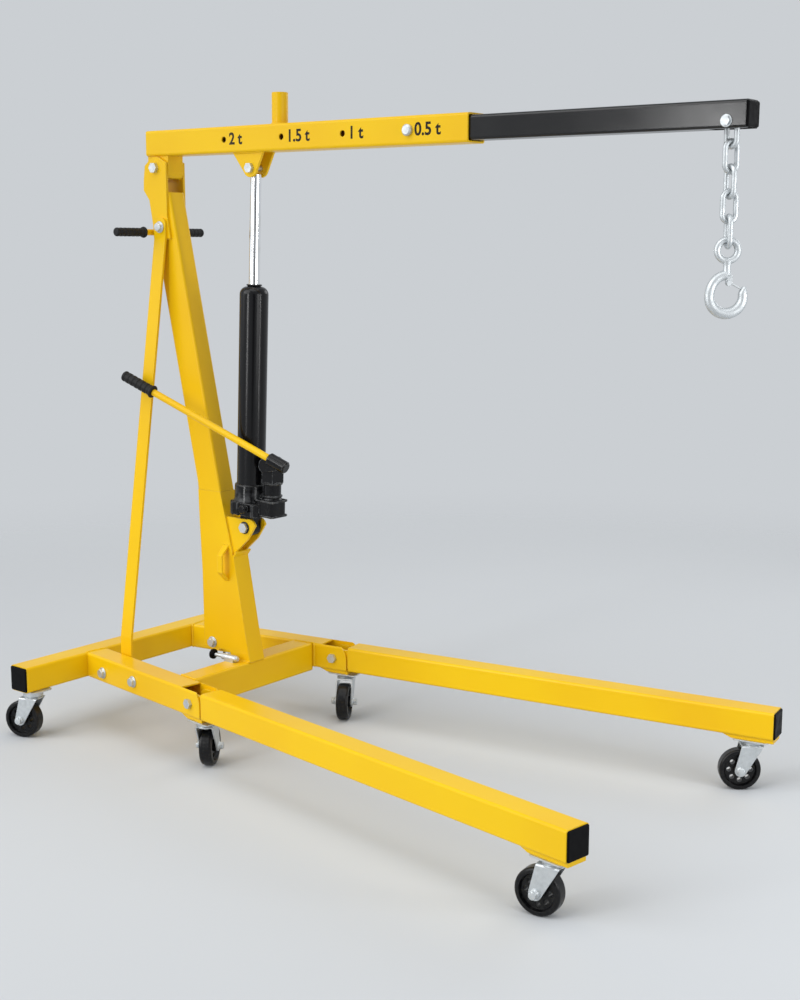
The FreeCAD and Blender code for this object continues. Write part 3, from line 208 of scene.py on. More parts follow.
def spun(profile, columns=32, flats=0):
    """Surface of revolution about Z: (r cos t, r sin t, h) for a profile of (r, h).

    With flats, r is cut at a prism with that many sides, r <= a / cos(t folded into one side),
    where a is the profile's largest radius, so a chamfered profile gives a bolt's head.
    """
    profile = np.asarray(profile, float)
    t = np.linspace(0.0, 2.0 * np.pi, columns, endpoint=False)
    radius = np.repeat(profile[:, :1], columns, axis=1)
    if flats:
        side = 2.0 * np.pi / flats
        folded = np.mod(t + side / 2.0, side) - side / 2.0
        inner = profile[:, 0].max() * math.cos(side / 2.0)
        radius = np.minimum(radius, inner / np.cos(folded))
    height = np.repeat(profile[:, 1:], columns, axis=1)
    points = np.stack([radius * np.cos(t), radius * np.sin(t), height], -1)
    return points.reshape(-1, 3), grid_quads(len(profile), columns)


def swept(path, side, radius, columns=10):
    """Round bead along a path: p(s) + r(s) (cos t side + sin t up), where up is square to path and side."""
    along = np.gradient(path, axis=0)
    along /= np.linalg.norm(along, axis=1, keepdims=True)
    side = side - (side * along).sum(1, keepdims=True) * along
    side /= np.linalg.norm(side, axis=1, keepdims=True)
    up = np.cross(along, side)
    t = np.linspace(0.0, 2.0 * np.pi, columns, endpoint=False)[None, :, None]
    ring = np.cos(t) * side[:, None, :] + np.sin(t) * up[:, None, :]
    points = path[:, None, :] + np.asarray(radius)[:, None, None] * ring
    return points.reshape(-1, 3), grid_quads(len(path), columns)


def placed(surface, origins, axes):
    """Copies of one surface, each with its Z turned to an axis and its zero moved to an origin."""
    points, quads = surface
    origins = np.atleast_2d(origins)
    w = np.atleast_2d(axes).astype(float)
    w = w / np.linalg.norm(w, axis=1, keepdims=True)
    helper = np.where(np.abs(w[:, 2:3]) > 0.9, np.array([[1.0, 0.0, 0.0]]), np.array([[0.0, 0.0, 1.0]]))
    u = np.cross(helper, w)
    u = u / np.linalg.norm(u, axis=1, keepdims=True)
    turns = np.stack([u, np.cross(w, u), w], -1)
    moved = np.einsum("kij,nj->kni", turns, points) + origins[:, None, :]
    shifted = quads[None] + (np.arange(len(origins)) * len(points))[:, None, None]
    return moved.reshape(-1, 3), shifted.reshape(-1, 4)


def merged(*surfaces):
    """Several surfaces as one."""
    starts = np.cumsum([0] + [len(points) for points, quads in surfaces[:-1]])
    points = np.concatenate([points for points, quads in surfaces])
    return points, np.concatenate([quads + start for (_, quads), start in zip(surfaces, starts)])


def new_piece(name, surface, body, material, sharp=35.0):
    """Mesh object at the origin from a surface: closed poles, outward faces, sharp edges past an angle."""
    points, quads = surface
    mesh = bpy.data.meshes.new(name)
    mesh.vertices.add(len(points))
    mesh.vertices.foreach_set("co", points.astype(np.float32).ravel())
    mesh.loops.add(quads.size)
    mesh.loops.foreach_set("vertex_index", quads.astype(np.int32).ravel())
    mesh.polygons.add(len(quads))
    mesh.polygons.foreach_set("loop_start", np.arange(0, quads.size, 4, dtype=np.int32))
    mesh.polygons.foreach_set("loop_total", np.full(len(quads), 4, np.int32))
    mesh.update(calc_edges=True)
    cleaned = bmesh.new()
    cleaned.from_mesh(mesh)
    bmesh.ops.remove_doubles(cleaned, verts=cleaned.verts, dist=1e-6)
    bmesh.ops.recalc_face_normals(cleaned, faces=cleaned.faces)
    cleaned.to_mesh(mesh)
    cleaned.free()
    mesh.polygons.foreach_set("use_smooth", np.ones(len(mesh.polygons), bool))
    mesh.set_sharp_from_angle(angle=math.radians(sharp))
    mesh.materials.append(material)
    piece = bpy.data.objects.new(name, mesh)
    bpy.context.scene.collection.objects.link(piece)
    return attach(piece, body)


# Finishes


def add(tree, kind, inputs=None, **settings):
    """Add one shader node with its settings, and set or link its inputs."""
    made = tree.nodes.new("ShaderNode" + kind)
    for name, value in settings.items():
        setattr(made, name, value)
    for socket, value in (inputs or {}).items():
        if isinstance(value, bpy.types.NodeSocket):
            tree.links.new(value, made.inputs[socket])
        else:
            made.inputs[socket].default_value = value
    return made


def started(name):
    """Empty material with a node tree, and its Object coordinates."""
    material = bpy.data.materials.new(name)
    material.use_nodes = True
    tree = material.node_tree
    tree.nodes.clear()
    return material, tree, add(tree, "TexCoord").outputs["Object"]


def ended(material, tree, inputs):
    """Close a material with its shader."""
    shader = add(tree, "BsdfPrincipled", inputs)
    add(tree, "OutputMaterial", {"Surface": shader.outputs["BSDF"]})
    return material


def edge_mask(tree, millimetres):
    """Normal rounded over so many mm, and a mask that grows where its dot with the true normal falls."""
    rounded = add(tree, "Bevel", {"Radius": millimetres * MM}, samples=4).outputs["Normal"]
    true = add(tree, "NewGeometry").outputs["True Normal"]
    dot = add(tree, "VectorMath", {0: rounded, 1: true}, operation="DOT_PRODUCT").outputs["Value"]
    mask = add(tree, "MapRange", {"Value": dot, "From Min": 1.0, "From Max": 0.8})
    return rounded, mask.outputs["Result"]


def enamel(name, paint, deep, thin, roughness, shine, peel):
    """Stoved enamel on steel: colour that drifts a little, faint orange peel, and paler edges in patches,
    partly thin paint and partly a painted highlight.
    """
    material, tree, place = started(name)
    drift = add(tree, "TexNoise", {"Vector": place, "Scale": per_metre(420.0), "Detail": 3.0}).outputs["Fac"]
    drift = add(tree, "MapRange", {"Value": drift, "From Min": 0.35, "From Max": 0.65}).outputs["Result"]
    body = add(tree, "Mix", {"Factor": drift, "A": deep, "B": paint}, data_type="RGBA").outputs["Result"]
    rounded, edge = edge_mask(tree, 2.2)
    # Paler colour on the edges in patches: partly thin paint over edges, partly a painted highlight.
    thin_paint_and_highlight = add(tree, "TexNoise", {"Vector": place, "Scale": per_metre(9.0), "Detail": 4.0}).outputs["Fac"]
    thin_paint_and_highlight = add(tree, "MapRange", {"Value": thin_paint_and_highlight, "From Min": 0.45, "From Max": 0.62}).outputs["Result"]
    share = add(tree, "Math", {0: edge, 1: thin_paint_and_highlight}, operation="MULTIPLY").outputs["Value"]
    share = add(tree, "Math", {0: share, 1: 0.55}, operation="MULTIPLY").outputs["Value"]
    shown = add(tree, "Mix", {"Factor": share, "A": body, "B": thin}, data_type="RGBA").outputs["Result"]
    smear = add(tree, "TexNoise", {"Vector": place, "Scale": per_metre(60.0), "Detail": 5.0}).outputs["Fac"]
    least = roughness - 0.05
    most = roughness + 0.05
    rough = add(tree, "MapRange", {"Value": smear, "To Min": least, "To Max": most}).outputs["Result"]
    # Orange peel is about 2 mm across, drawn at 4 mm so that it shows
    waves = add(tree, "TexNoise", {"Vector": place, "Scale": per_metre(4.0), "Detail": 1.0}).outputs["Fac"]
    bump = add(tree, "Bump", {"Height": waves, "Normal": rounded, "Strength": peel, "Distance": 0.4 * MM})
    return ended(material, tree, {"Base Color": shown, "Roughness": rough, "Normal": bump.outputs["Normal"],
                                  "IOR": 1.5, "Specular IOR Level": shine})


def cast_enamel(name, paint, dust, iron):
    """Gloss black on sand-cast iron: pebbled skin, dust in its hollows, and a painted highlight along edges
    in places.
    """
    material, tree, place = started(name)
    pebble = add(tree, "TexNoise", {"Vector": place, "Scale": per_metre(5.0), "Detail": 4.0}).outputs["Fac"]
    sand = add(tree, "TexNoise", {"Vector": place, "Scale": per_metre(1.6), "Detail": 2.0}).outputs["Fac"]
    skin = add(tree, "Math", {0: pebble, 1: sand}, operation="ADD").outputs["Value"]
    hollow = add(tree, "MapRange", {"Value": pebble, "From Min": 0.42, "From Max": 0.25}).outputs["Result"]
    shown = add(tree, "Mix", {"Factor": hollow, "A": paint, "B": dust}, data_type="RGBA").outputs["Result"]
    rough = add(tree, "MapRange", {"Value": pebble, "To Min": 0.1, "To Max": 0.2}).outputs["Result"]
    rounded, edge = edge_mask(tree, 1.8)
    # Painted highlight: pale grey laid on the edges in patches, standing for glints of the lamps on the
    # casting's rounded edges.
    painted_glint_patch = add(tree, "TexNoise", {"Vector": place, "Scale": per_metre(16.0), "Detail": 3.0}).outputs["Fac"]
    painted_glint_patch = add(tree, "MapRange", {"Value": painted_glint_patch, "From Min": 0.4, "From Max": 0.56}).outputs["Result"]
    share = add(tree, "Math", {0: edge, 1: painted_glint_patch}, operation="MULTIPLY").outputs["Value"]
    shown = add(tree, "Mix", {"Factor": share, "A": shown, "B": iron}, data_type="RGBA").outputs["Result"]
    bump = add(tree, "Bump", {"Height": skin, "Normal": rounded, "Strength": 0.1, "Distance": 0.5 * MM})
    return ended(material, tree, {"Base Color": shown, "Roughness": rough, "Normal": bump.outputs["Normal"],
                                  "IOR": 1.5, "Specular IOR Level": 0.24})


def moulded_plastic(name, tint, scuff):
    """Moulded polypropylene: near black with a fine spark-eroded grain and paler scuffs on its edges."""
    material, tree, place = started(name)
    rounded, edge = edge_mask(tree, 1.5)
    patch = add(tree, "TexNoise", {"Vector": place, "Scale": per_metre(14.0), "Detail": 4.0}).outputs["Fac"]
    patch = add(tree, "MapRange", {"Value": patch, "From Min": 0.4, "From Max": 0.7}).outputs["Result"]
    share = add(tree, "Math", {0: edge, 1: patch}, operation="MULTIPLY").outputs["Value"]
    shown = add(tree, "Mix", {"Factor": share, "A": tint, "B": scuff}, data_type="RGBA").outputs["Result"]
    rough = add(tree, "MapRange", {"Value": patch, "To Min": 0.42, "To Max": 0.58}).outputs["Result"]
    # The eroded grain is about 0.5 mm, drawn at 1.4 mm so that it shows
    grain = add(tree, "TexNoise", {"Vector": place, "Scale": per_metre(1.4), "Detail": 2.0}).outputs["Fac"]
    bump = add(tree, "Bump", {"Height": grain, "Normal": rounded, "Strength": 0.16, "Distance": 0.2 * MM})
    return ended(material, tree, {"Base Color": shown, "Roughness": rough, "Normal": bump.outputs["Normal"],
                                  "IOR": 1.49, "Specular IOR Level": 0.07})


def soft_rubber(name, tint, bloom):
    """Soft PVC grip: matt black with a grey bloom in patches and a fine skin."""
    material, tree, place = started(name)
    patch = add(tree, "TexNoise", {"Vector": place, "Scale": per_metre(25.0), "Detail": 5.0}).outputs["Fac"]
    patch = add(tree, "MapRange", {"Value": patch, "From Min": 0.45, "From Max": 0.75}).outputs["Result"]
    shown = add(tree, "Mix", {"Factor": patch, "A": tint, "B": bloom}, data_type="RGBA").outputs["Result"]
    rough = add(tree, "MapRange", {"Value": patch, "To Min": 0.5, "To Max": 0.72}).outputs["Result"]
    skin = add(tree, "TexNoise", {"Vector": place, "Scale": per_metre(1.2), "Detail": 3.0}).outputs["Fac"]
    bump = add(tree, "Bump", {"Height": skin, "Strength": 0.2, "Distance": 0.2 * MM})
    return ended(material, tree, {"Base Color": shown, "Roughness": rough, "Normal": bump.outputs["Normal"],
                                  "IOR": 1.52, "Specular IOR Level": 0.25})


def zinc_plate(name, bright, dull):
    """Bright zinc plate on steel: silver with cloudy dull patches, faint rolling lines and rounded edges."""
    material, tree, place = started(name)
    cloud = add(tree, "TexNoise", {"Vector": place, "Scale": per_metre(12.0), "Detail": 5.0}).outputs["Fac"]
    cloud = add(tree, "MapRange", {"Value": cloud, "From Min": 0.35, "From Max": 0.7}).outputs["Result"]
    shown = add(tree, "Mix", {"Factor": cloud, "A": bright, "B": dull}, data_type="RGBA").outputs["Result"]
    rough = add(tree, "MapRange", {"Value": cloud, "To Min": 0.46, "To Max": 0.6}).outputs["Result"]
    rounded, _ = edge_mask(tree, 0.8)
    lines = add(tree, "Mapping", {"Vector": place, "Scale": (1.0, 1.0, 5.0)}).outputs["Vector"]
    rolled = add(tree, "TexNoise", {"Vector": lines, "Scale": per_metre(9.0), "Detail": 3.0}).outputs["Fac"]
    bump = add(tree, "Bump", {"Height": rolled, "Normal": rounded, "Strength": 0.04, "Distance": 0.15 * MM})
    return ended(material, tree, {"Base Color": shown, "Metallic": 1.0, "Roughness": rough,
                                  "Normal": bump.outputs["Normal"]})


def hard_chrome(name, bright, oil):
    """Ground and hard-chromed rod: mirror bright with fine grinding rings and a film of oil."""
    material, tree, place = started(name)
    film = add(tree, "TexNoise", {"Vector": place, "Scale": per_metre(40.0), "Detail": 3.0}).outputs["Fac"]
    film = add(tree, "MapRange", {"Value": film, "From Min": 0.5, "From Max": 0.8}).outputs["Result"]
    shown = add(tree, "Mix", {"Factor": film, "A": bright, "B": oil}, data_type="RGBA").outputs["Result"]
    rough = add(tree, "MapRange", {"Value": film, "To Min": 0.09, "To Max": 0.18}).outputs["Result"]
    rings = add(tree, "TexWave", {"Vector": place, "Scale": per_metre(6.0), "Distortion": 0.4},
                bands_direction="Z")
    bump = add(tree, "Bump", {"Height": rings.outputs["Fac"], "Strength": 0.004, "Distance": 0.05 * MM})
    return ended(material, tree, {"Base Color": shown, "Metallic": 1.0, "Roughness": rough,
                                  "Normal": bump.outputs["Normal"]})


def tread_nylon(name, tint, dust):
    """Cast nylon wheel: black with dust from the floor in fine scratches."""
    material, tree, place = started(name)
    scratch = add(tree, "TexNoise", {"Vector": place, "Scale": per_metre(6.0), "Detail": 6.0}).outputs["Fac"]
    scratch = add(tree, "MapRange", {"Value": scratch, "From Min": 0.5, "From Max": 0.75}).outputs["Result"]
    shown = add(tree, "Mix", {"Factor": scratch, "A": tint, "B": dust}, data_type="RGBA").outputs["Result"]
    rough = add(tree, "MapRange", {"Value": scratch, "To Min": 0.28, "To Max": 0.5}).outputs["Result"]
    rounded, _ = edge_mask(tree, 1.0)
    bump = add(tree, "Bump", {"Height": scratch, "Normal": rounded, "Strength": 0.1, "Distance": 0.2 * MM})
    return ended(material, tree, {"Base Color": shown, "Roughness": rough, "Normal": bump.outputs["Normal"],
                                  "IOR": 1.53, "Specular IOR Level": 0.25})


def marking_ink(name, tint, thin):
    """Screen-printed ink on enamel: dense black that thins in small specks."""
    material, tree, place = started(name)
    speck = add(tree, "TexNoise", {"Vector": place, "Scale": per_metre(1.6), "Detail": 3.0}).outputs["Fac"]
    speck = add(tree, "MapRange", {"Value": speck, "From Min": 0.62, "From Max": 0.75}).outputs["Result"]
    shown = add(tree, "Mix", {"Factor": speck, "A": tint, "B": thin}, data_type="RGBA").outputs["Result"]
    rough = add(tree, "MapRange", {"Value": speck, "To Min": 0.3, "To Max": 0.45}).outputs["Result"]
    return ended(material, tree, {"Base Color": shown, "Roughness": rough,
                                  "IOR": 1.5, "Specular IOR Level": 0.2})


class FinishSettings(bpy.types.PropertyGroup):
    """Colours of the crane's finishes."""

    enamel: colour("Enamel", "Yellow enamel in full", "#F2C60A")
    enamel_deep: colour("Deep enamel", "Yellow enamel where it lies thicker", "#EBB90C")
    # Paler edge colour of the yellow enamel: partly thin paint, partly a painted highlight.
    enamel_thin_and_highlight: colour("Thin enamel", "Yellow enamel over edges", "#F8DF74")
    black: colour("Black paint", "Black paint on the ram and the extension", "#0D0D0F")
    # Paler edge colour of the black paints: partly thin paint, partly a painted highlight.
    black_thin_and_highlight: colour("Thin black paint", "Black paint over edges", "#242527")
    dust: colour("Dust", "Dust in castings and on wheels", "#242423")
    # Painted highlight: pale grey that cast_enamel lays along the casting's edges in patches for glints, not
    # bare iron.
    iron: colour("Iron", "Cast iron where the paint is rubbed off its edges", "#A9ACAE")
    plastic: colour("Plastic", "Moulded caps and knob", "#09090B")
    rubber: colour("Rubber", "Soft grips", "#101011")
    bloom: colour("Bloom", "Grey bloom on plastic and rubber", "#232325")
    zinc: colour("Zinc", "Bright zinc plate", "#D3D7D9")
    zinc_dull: colour("Dull zinc", "Cloudy patches of the zinc plate", "#C2C6C8")
    chrome: colour("Chrome", "Chromed ram rod", "#F1F2F3")
    chrome_oil: colour("Oil on chrome", "Chrome under a film of oil", "#D8D6CF")


FINISHES = {
    "yellow_enamel": ("rear_crossbar", "rail_right", "rail_left", "front_crossmember", "pedestal",
                      "mast_tube", "head_cheeks", "brace_right", "brace_left", "push_handle",
                      "leg_right", "leg_left", "boom_tube", "ram_clevis", "boom_stub",
                      "pump_handle", "handle_loop"),
    "satin_black_paint": ("extension_tube",),
    "gloss_black_paint": ("ram_cylinder",),
    "painted_cast_iron": ("pump_base", "handle_socket"),
    "moulded_polypropylene": ("crossbar_caps", "leg_right_cap", "leg_left_cap", "extension_cap",
                              "lock_knob"),
    "soft_pvc": ("push_handle_grips", "pump_handle_grip"),
    "bright_zinc": ("mast_pins", "leg_pivot_bolts", "lock_pin", "caster_plates",
                    "leg_right_caster_plate", "leg_left_caster_plate", "ram_head_pin", "load_bolt",
                    "hook_bolt", "chain", "hook", "hook_latch",
                    *["caster_fork_" + name for name in CASTERS]),
    "hard_chrome": ("ram_rod",),
    "cast_nylon": tuple("caster_wheel_" + name for name in CASTERS),
}


class CRANE_OT_finishes(bpy.types.Operator):
    """Procedural finish on every CAD node"""

    bl_idname = "crane.finishes"
    bl_label = "Finishes"

    def execute(self, context):
        c = context.scene.crane_finish
        enamel("yellow_enamel", c.enamel, c.enamel_deep, c.enamel_thin_and_highlight,
               roughness=0.32, shine=0.24, peel=0.02)
        enamel("satin_black_paint", c.black, c.black, c.black_thin_and_highlight, roughness=0.2, shine=0.42, peel=0.03)
        enamel("gloss_black_paint", c.black, c.black, c.black_thin_and_highlight, roughness=0.2, shine=0.28, peel=0.012)
        cast_enamel("painted_cast_iron", c.black, c.dust, c.iron)
        moulded_plastic("moulded_polypropylene", c.plastic, c.bloom)
        soft_rubber("soft_pvc", c.rubber, c.bloom)
        zinc_plate("bright_zinc", c.zinc, c.zinc_dull)
        hard_chrome("hard_chrome", c.chrome, c.chrome_oil)
        tread_nylon("cast_nylon", c.plastic, c.dust)
        marking_ink("marking_ink", c.plastic, c.enamel_deep)
        for name, nodes in FINISHES.items():
            for node in nodes:
                slots = frame["nodes"][node].data.materials
                slots.clear()
                slots.append(bpy.data.materials[name])
        return {"FINISHED"}


# Fasteners


def bolt_head(flats, tall, ring_radius):
    """Bolt's head on its washer, spun about Z from the seat: a chamfered hexagon over a rounded ring."""
    corner = flats / math.sqrt(3.0)
    thick = 0.16 * flats
    ring = [(0.0, 0.0), (ring_radius - 0.4 * thick, 0.0), (ring_radius, 0.3 * thick),
            (ring_radius, 0.7 * thick), (ring_radius - 0.3 * thick, thick), (0.0, thick)]
    chamfer = 0.16 * tall
    top = thick + tall
    prism = [(0.0, 0.5 * thick), (corner, 0.5 * thick), (corner, top - 1.6 * chamfer),
             (0.93 * corner, top - 0.7 * chamfer), (0.84 * corner, top), (0.0, top)]
    return merged(spun(ring, columns=36), spun(prism, columns=72, flats=6))


def washer(radius):
    """Washer spun about Z from the seat: a rounded ring, closed in the middle under its bolt."""
    thick = 0.16 * radius
    return spun([(0.0, 0.0), (radius - 0.3 * thick, 0.0), (radius, 0.3 * thick), (radius, 0.7 * thick),
                 (radius - 0.4 * thick, thick), (0.0, thick)], columns=40)


def rail_point(x, side, outward, z):
    """Point on a splayed rail's side: its middle line's Y grows with X, and outward is square to it."""
    y = RAIL_MIDDLE_Y + x * math.tan(RAIL_LEAN)
    return spot(x - outward * math.sin(RAIL_LEAN), side * (y + outward * math.cos(RAIL_LEAN)), z)


def rail_normal(side):
    """Outward direction of a splayed rail's outer side."""
    return np.array([-math.sin(RAIL_LEAN), side * math.cos(RAIL_LEAN), 0.0])


class FastenerSettings(bpy.types.PropertyGroup):
    """Sizes of bolt heads."""

    frame_flats: length("Frame bolts", "Across the flats of the base's bolts", 19.0)
    frame_tall: length("Frame bolt height", "Height of the base's bolt heads", 7.5)
    frame_washer: length("Frame washers", "Radius of the base's washers", 14.0)
    hook_washer: length("Hook washers", "Radius of the hook bolt's washers", 11.5)
    # Black rings at both ends of the ram's foot pin, drawn with a washer's shape.
    pin_black_ring: length("Ram pin washers", "Radius of the ram pin's black washers", 15.0)
    axle_flats: length("Axle nuts", "Across the flats of the caster nuts", 15.0)
    axle_tall: length("Axle nut height", "Height of the caster nuts", 4.5)
    axle_washer: length("Axle washers", "Radius of the caster washers", 9.0)


class CRANE_OT_fasteners(bpy.types.Operator):
    """Bolts of the rails, pedestal and braces, washers of the hook bolt, black rings at the ram pin's ends,
    and axle nuts
    """

    bl_idname = "crane.fasteners"
    bl_label = "Fasteners"

    def execute(self, context):
        s = context.scene.crane_fasteners
        zinc = bpy.data.materials["bright_zinc"]
        head = bolt_head(s.frame_flats, s.frame_tall, s.frame_washer)
        origins = []
        axes = []
        for side in SIDES:
            for x, z in RAIL_BOLTS:
                origins.append(rail_point(x, side, TUBE_HALF, z))
                axes.append(rail_normal(side))
            for x, y, z in (PEDESTAL_BOLT, BRACE_BOLT):
                origins.append(spot(x, side * y, z))
                axes.append(np.array([0.0, side, 0.0]))
        new_piece("frame_bolts", placed(head, origins, axes), "base", zinc)
        axes = [np.array([0.0, side, 0.0]) for side in SIDES]
        hook_bolt = np.array(JOINTS["chain_swing"]["pos_m"])
        seats = [hook_bolt + HOOK_WASHER_SEAT * MM * axis for axis in axes]
        new_piece("hook_washers", placed(washer(s.hook_washer), seats, axes), "extension", zinc)
        # Black rings in black paint at both ends of the ram's foot pin, drawn with a washer's shape.
        foot = np.array(JOINTS["ram_tilt"]["pos_m"])
        seats = [foot + RAM_RING_SEAT * MM * axis for axis in axes]
        black = bpy.data.materials["satin_black_paint"]
        new_piece("ram_pin_black_rings", placed(washer(s.pin_black_ring), seats, axes), "base", black)
        nut = bolt_head(s.axle_flats, s.axle_tall, s.axle_washer)
        for name in CASTERS:
            joint = JOINTS["roll_" + name]
            axis = np.array(joint["axis"])
            axes = np.stack([axis, -axis])
            origins = np.array(joint["pos_m"]) + AXLE_NUT_SEAT * MM * axes
            new_piece("axle_nuts_" + name, placed(nut, origins, axes), "swivel_" + name, zinc)
        return {"FINISHED"}


# Weld beads


def bead(start, end, radius, ripple, depth=0.1):
    """Bead from one point to another: its radius swells in ripples of some depth and closes at both ends."""
    span = np.linalg.norm(end - start)
    s = np.linspace(0.0, span, max(12, int(span / (1.2 * MM))))
    path = start + (end - start) * (s / span)[:, None]
    ends = np.sqrt(np.clip(np.minimum(s, span - s) / radius, 0.0, 1.0))
    thick = radius * ends * (1.0 - depth + depth * np.sin(2.0 * np.pi * s / ripple))
    along = (end - start) / span
    side = np.array([0.0, 0.0, 1.0]) if abs(along[2]) < 0.9 else np.array([1.0, 0.0, 0.0])
    return swept(path, np.repeat(side[None], len(s), axis=0), thick)


def ring_bead(centre, up, around, radius, ripple, depth=0.1):
    """Bead round a tube: a torus whose thickness swells in ripples of some depth."""
    t = np.linspace(0.0, 2.0 * np.pi, 180)
    u = np.array([0.0, 1.0, 0.0])
    v = np.cross(up, u)
    out = np.cos(t)[:, None] * u + np.sin(t)[:, None] * v
    thick = radius * (1.0 - depth + depth * np.sin(t * round(2.0 * np.pi * around / ripple)))
    return swept(centre + around * out, out, thick)


class WeldSettings(bpy.types.PropertyGroup):
    """Size of the weld beads."""

    radius: length("Bead radius", "Half the width of a weld bead", 3.0)
    ripple: length("Ripple", "Step from one ripple of a weld to the next", 4.5)


class CRANE_OT_welds(bpy.types.Operator):
    """Painted weld beads where the frame's tubes and plates meet"""

    bl_idname = "crane.welds"
    bl_label = "Welds"

    def execute(self, context):
        s = context.scene.crane_welds
        paint = bpy.data.materials["yellow_enamel"]
        lines = []
        for side in SIDES:
            for first, second in RAIL_WELDS:
                low = [rail_point(x, side, outward, RAIL_LOW) for x, outward in (first, second)]
                high = [rail_point(x, side, outward, RAIL_HIGH) for x, outward in (first, second)]
                lines += [*zip(low, high), tuple(high)]
            y = side * PEDESTAL_HALF
            lines.append((spot(PEDESTAL_REAR_X, y, RAIL_HIGH), spot(PEDESTAL_FRONT_X, y, RAIL_HIGH)))
            lines.append(tuple(spot(x, side * EAR_WELD_Y, z) for x, z in EAR_WELD))
            lines.append(tuple(spot(x, y, CHEEK_WELD_Z) for x in CHEEK_WELD_X))
        across = [(CROSSMEMBER_FRONT_X, RAIL_HIGH)] + [(PUSH_BAR_X, z) for z in PUSH_BAR_WELDS_Z]
        for x, z in across:
            lines.append((spot(x, -ACROSS_WELD_HALF, z), spot(x, ACROSS_WELD_HALF, z)))
        beads = [bead(start, end, s.radius, s.ripple) for start, end in lines]
        new_piece("frame_welds", merged(*beads), "base", paint)
        beads = []
        for side in SIDES:
            y = side * CLEVIS_WELD_Y
            rear = boom_spot(CLEVIS_REAR_X, y, BOOM_UNDERSIDE)
            front = boom_spot(CLEVIS_FRONT_X, y, BOOM_UNDERSIDE)
            beads.append(bead(rear, front, s.radius, s.ripple))
        _, up = boom_axes()
        foot = boom_spot(STUB_X, 0.0, BOOM_TOP)
        beads.append(ring_bead(foot, up, STUB_WELD_RADIUS * MM, s.radius, s.ripple))
        new_piece("boom_welds", merged(*beads), "boom", paint)
        return {"FINISHED"}


# Cast details of the ram


def plain_rib(start, end, radius):
    """Rib with rounded ends: a bead of even thickness, with no ripples."""
    return bead(start, end, radius, radius, depth=0.0)


class CastingSettings(bpy.types.PropertyGroup):
    """Sizes of the cast collar, ribs and rings at the foot of the ram."""

    collar: length("Collar", "Height of the collar round the cylinder's foot", 42.0)
    rib: length("Ribs", "Radius of the cast ribs on the base's sides", 5.0)
    edge: length("Edges", "Radius of the rounded edges of the pump's shoe", 3.0)
    ring: length("Rings", "Radius of the rings round the pump's column", 3.0)


class CRANE_OT_castings(bpy.types.Operator):
    """Collar round the cylinder, ribs on the cast base, and rounded edges and rings of the pump"""

    bl_idname = "crane.castings"
    bl_label = "Castings"

    def execute(self, context):
        s = context.scene.crane_castings
        iron = bpy.data.materials["painted_cast_iron"]
        up = np.array(JOINTS["ram_stroke"]["axis"])
        tall = s.collar / MM
        flare = [(COLLAR_BORE, -2.0), (COLLAR_FLARE, -2.0), (COLLAR_FLARE - 0.5, 2.0)]
        wall = [(COLLAR_RADIUS + 0.5, 6.0), (COLLAR_RADIUS, tall - 6.0)]
        lip = [(COLLAR_RADIUS - 0.6, tall - 2.5), (COLLAR_RADIUS - 2.0, tall - 0.6),
               (COLLAR_RADIUS - 3.5, tall), (COLLAR_BORE, tall)]
        turned = spun(np.array(flare + wall + lip) * MM, columns=72)
        collar = placed(turned, ram_spot(0.0, 0.0, COLLAR_FOOT), up)
        new_piece("ram_collar", collar, "ram", iron, sharp=50.0)
        ribs = []
        for side in SIDES:
            y = side * RIB_Y
            for x in RIB_X:
                ribs.append(plain_rib(ram_spot(x, y, RIB_LOW), ram_spot(x, y, RIB_HIGH), s.rib))
            y = side * SHOE_HALF
            for x, z in SHOE_STARTS:
                ribs.append(plain_rib(ram_spot(x, y, z), ram_spot(SHOE_EDGE_END, y, z), s.edge))
        for z in (SHOE_LOW, SHOE_HIGH):
            right = ram_spot(SHOE_NOSE_X, -SHOE_HALF, z)
            ribs.append(plain_rib(right, ram_spot(SHOE_NOSE_X, SHOE_HALF, z), s.edge))
        for z in COLUMN_RINGS_Z:
            centre = ram_spot(COLUMN_X, 0.0, z)
            ribs.append(ring_bead(centre, up, COLUMN_RADIUS * MM, s.ring, s.ring, depth=0.0))
        new_piece("casting_ribs", merged(*ribs), "ram", iron, sharp=60.0)
        return {"FINISHED"}


# Load marks


class MarkSettings(bpy.types.PropertyGroup):
    """Load marks beside the boom's holes."""

    tall: length("Height", "Height of the letters' body", 37.0)
    beside: length("Beside the hole", "From a hole's middle to its number", 17.0)
    bold: length("Bold", "How far the strokes are thickened", 1.0)
    proud: length("Ink", "Thickness of the printed ink", 0.25)


class CRANE_OT_marks(bpy.types.Operator):
    """Plain load numbers in tonnes beside each hole of the boom"""

    bl_idname = "crane.marks"
    bl_label = "Load marks"

    def execute(self, context):
        s = context.scene.crane_marks
        along, up = boom_axes()
        out = np.array([0.0, -1.0, 0.0])
        for k, words in enumerate(LOADS):
            text = bpy.data.curves.new("load_mark", "FONT")
            text.body = words
            text.size = s.tall
            text.offset = s.bold
            text.extrude = s.proud / 2.0
            text.align_y = "CENTER"
            drawn = bpy.data.objects.new("load_mark", text)
            context.scene.collection.objects.link(drawn)
            context.view_layer.update()
            mesh = bpy.data.meshes.new_from_object(drawn)
            bpy.data.objects.remove(drawn)
            points = np.empty(len(mesh.vertices) * 3)
            mesh.vertices.foreach_get("co", points)
            points = points.reshape(-1, 3)
            hole = boom_spot(FIRST_HOLE_X + HOLE_STEP * k, -BOOM_HALF, BOOM_MIDDLE_Z)
            place = hole + (points[:, :1] + s.beside) * along + points[:, 1:2] * up + points[:, 2:] * out
            mesh.vertices.foreach_set("co", place.ravel())
            mesh.update()
            mesh.materials.clear()
            mesh.materials.append(bpy.data.materials["marking_ink"])
            piece = bpy.data.objects.new("load_mark_%d" % (k + 1), mesh)
            context.scene.collection.objects.link(piece)
            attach(piece, "boom")
        return {"FINISHED"}


# Stage


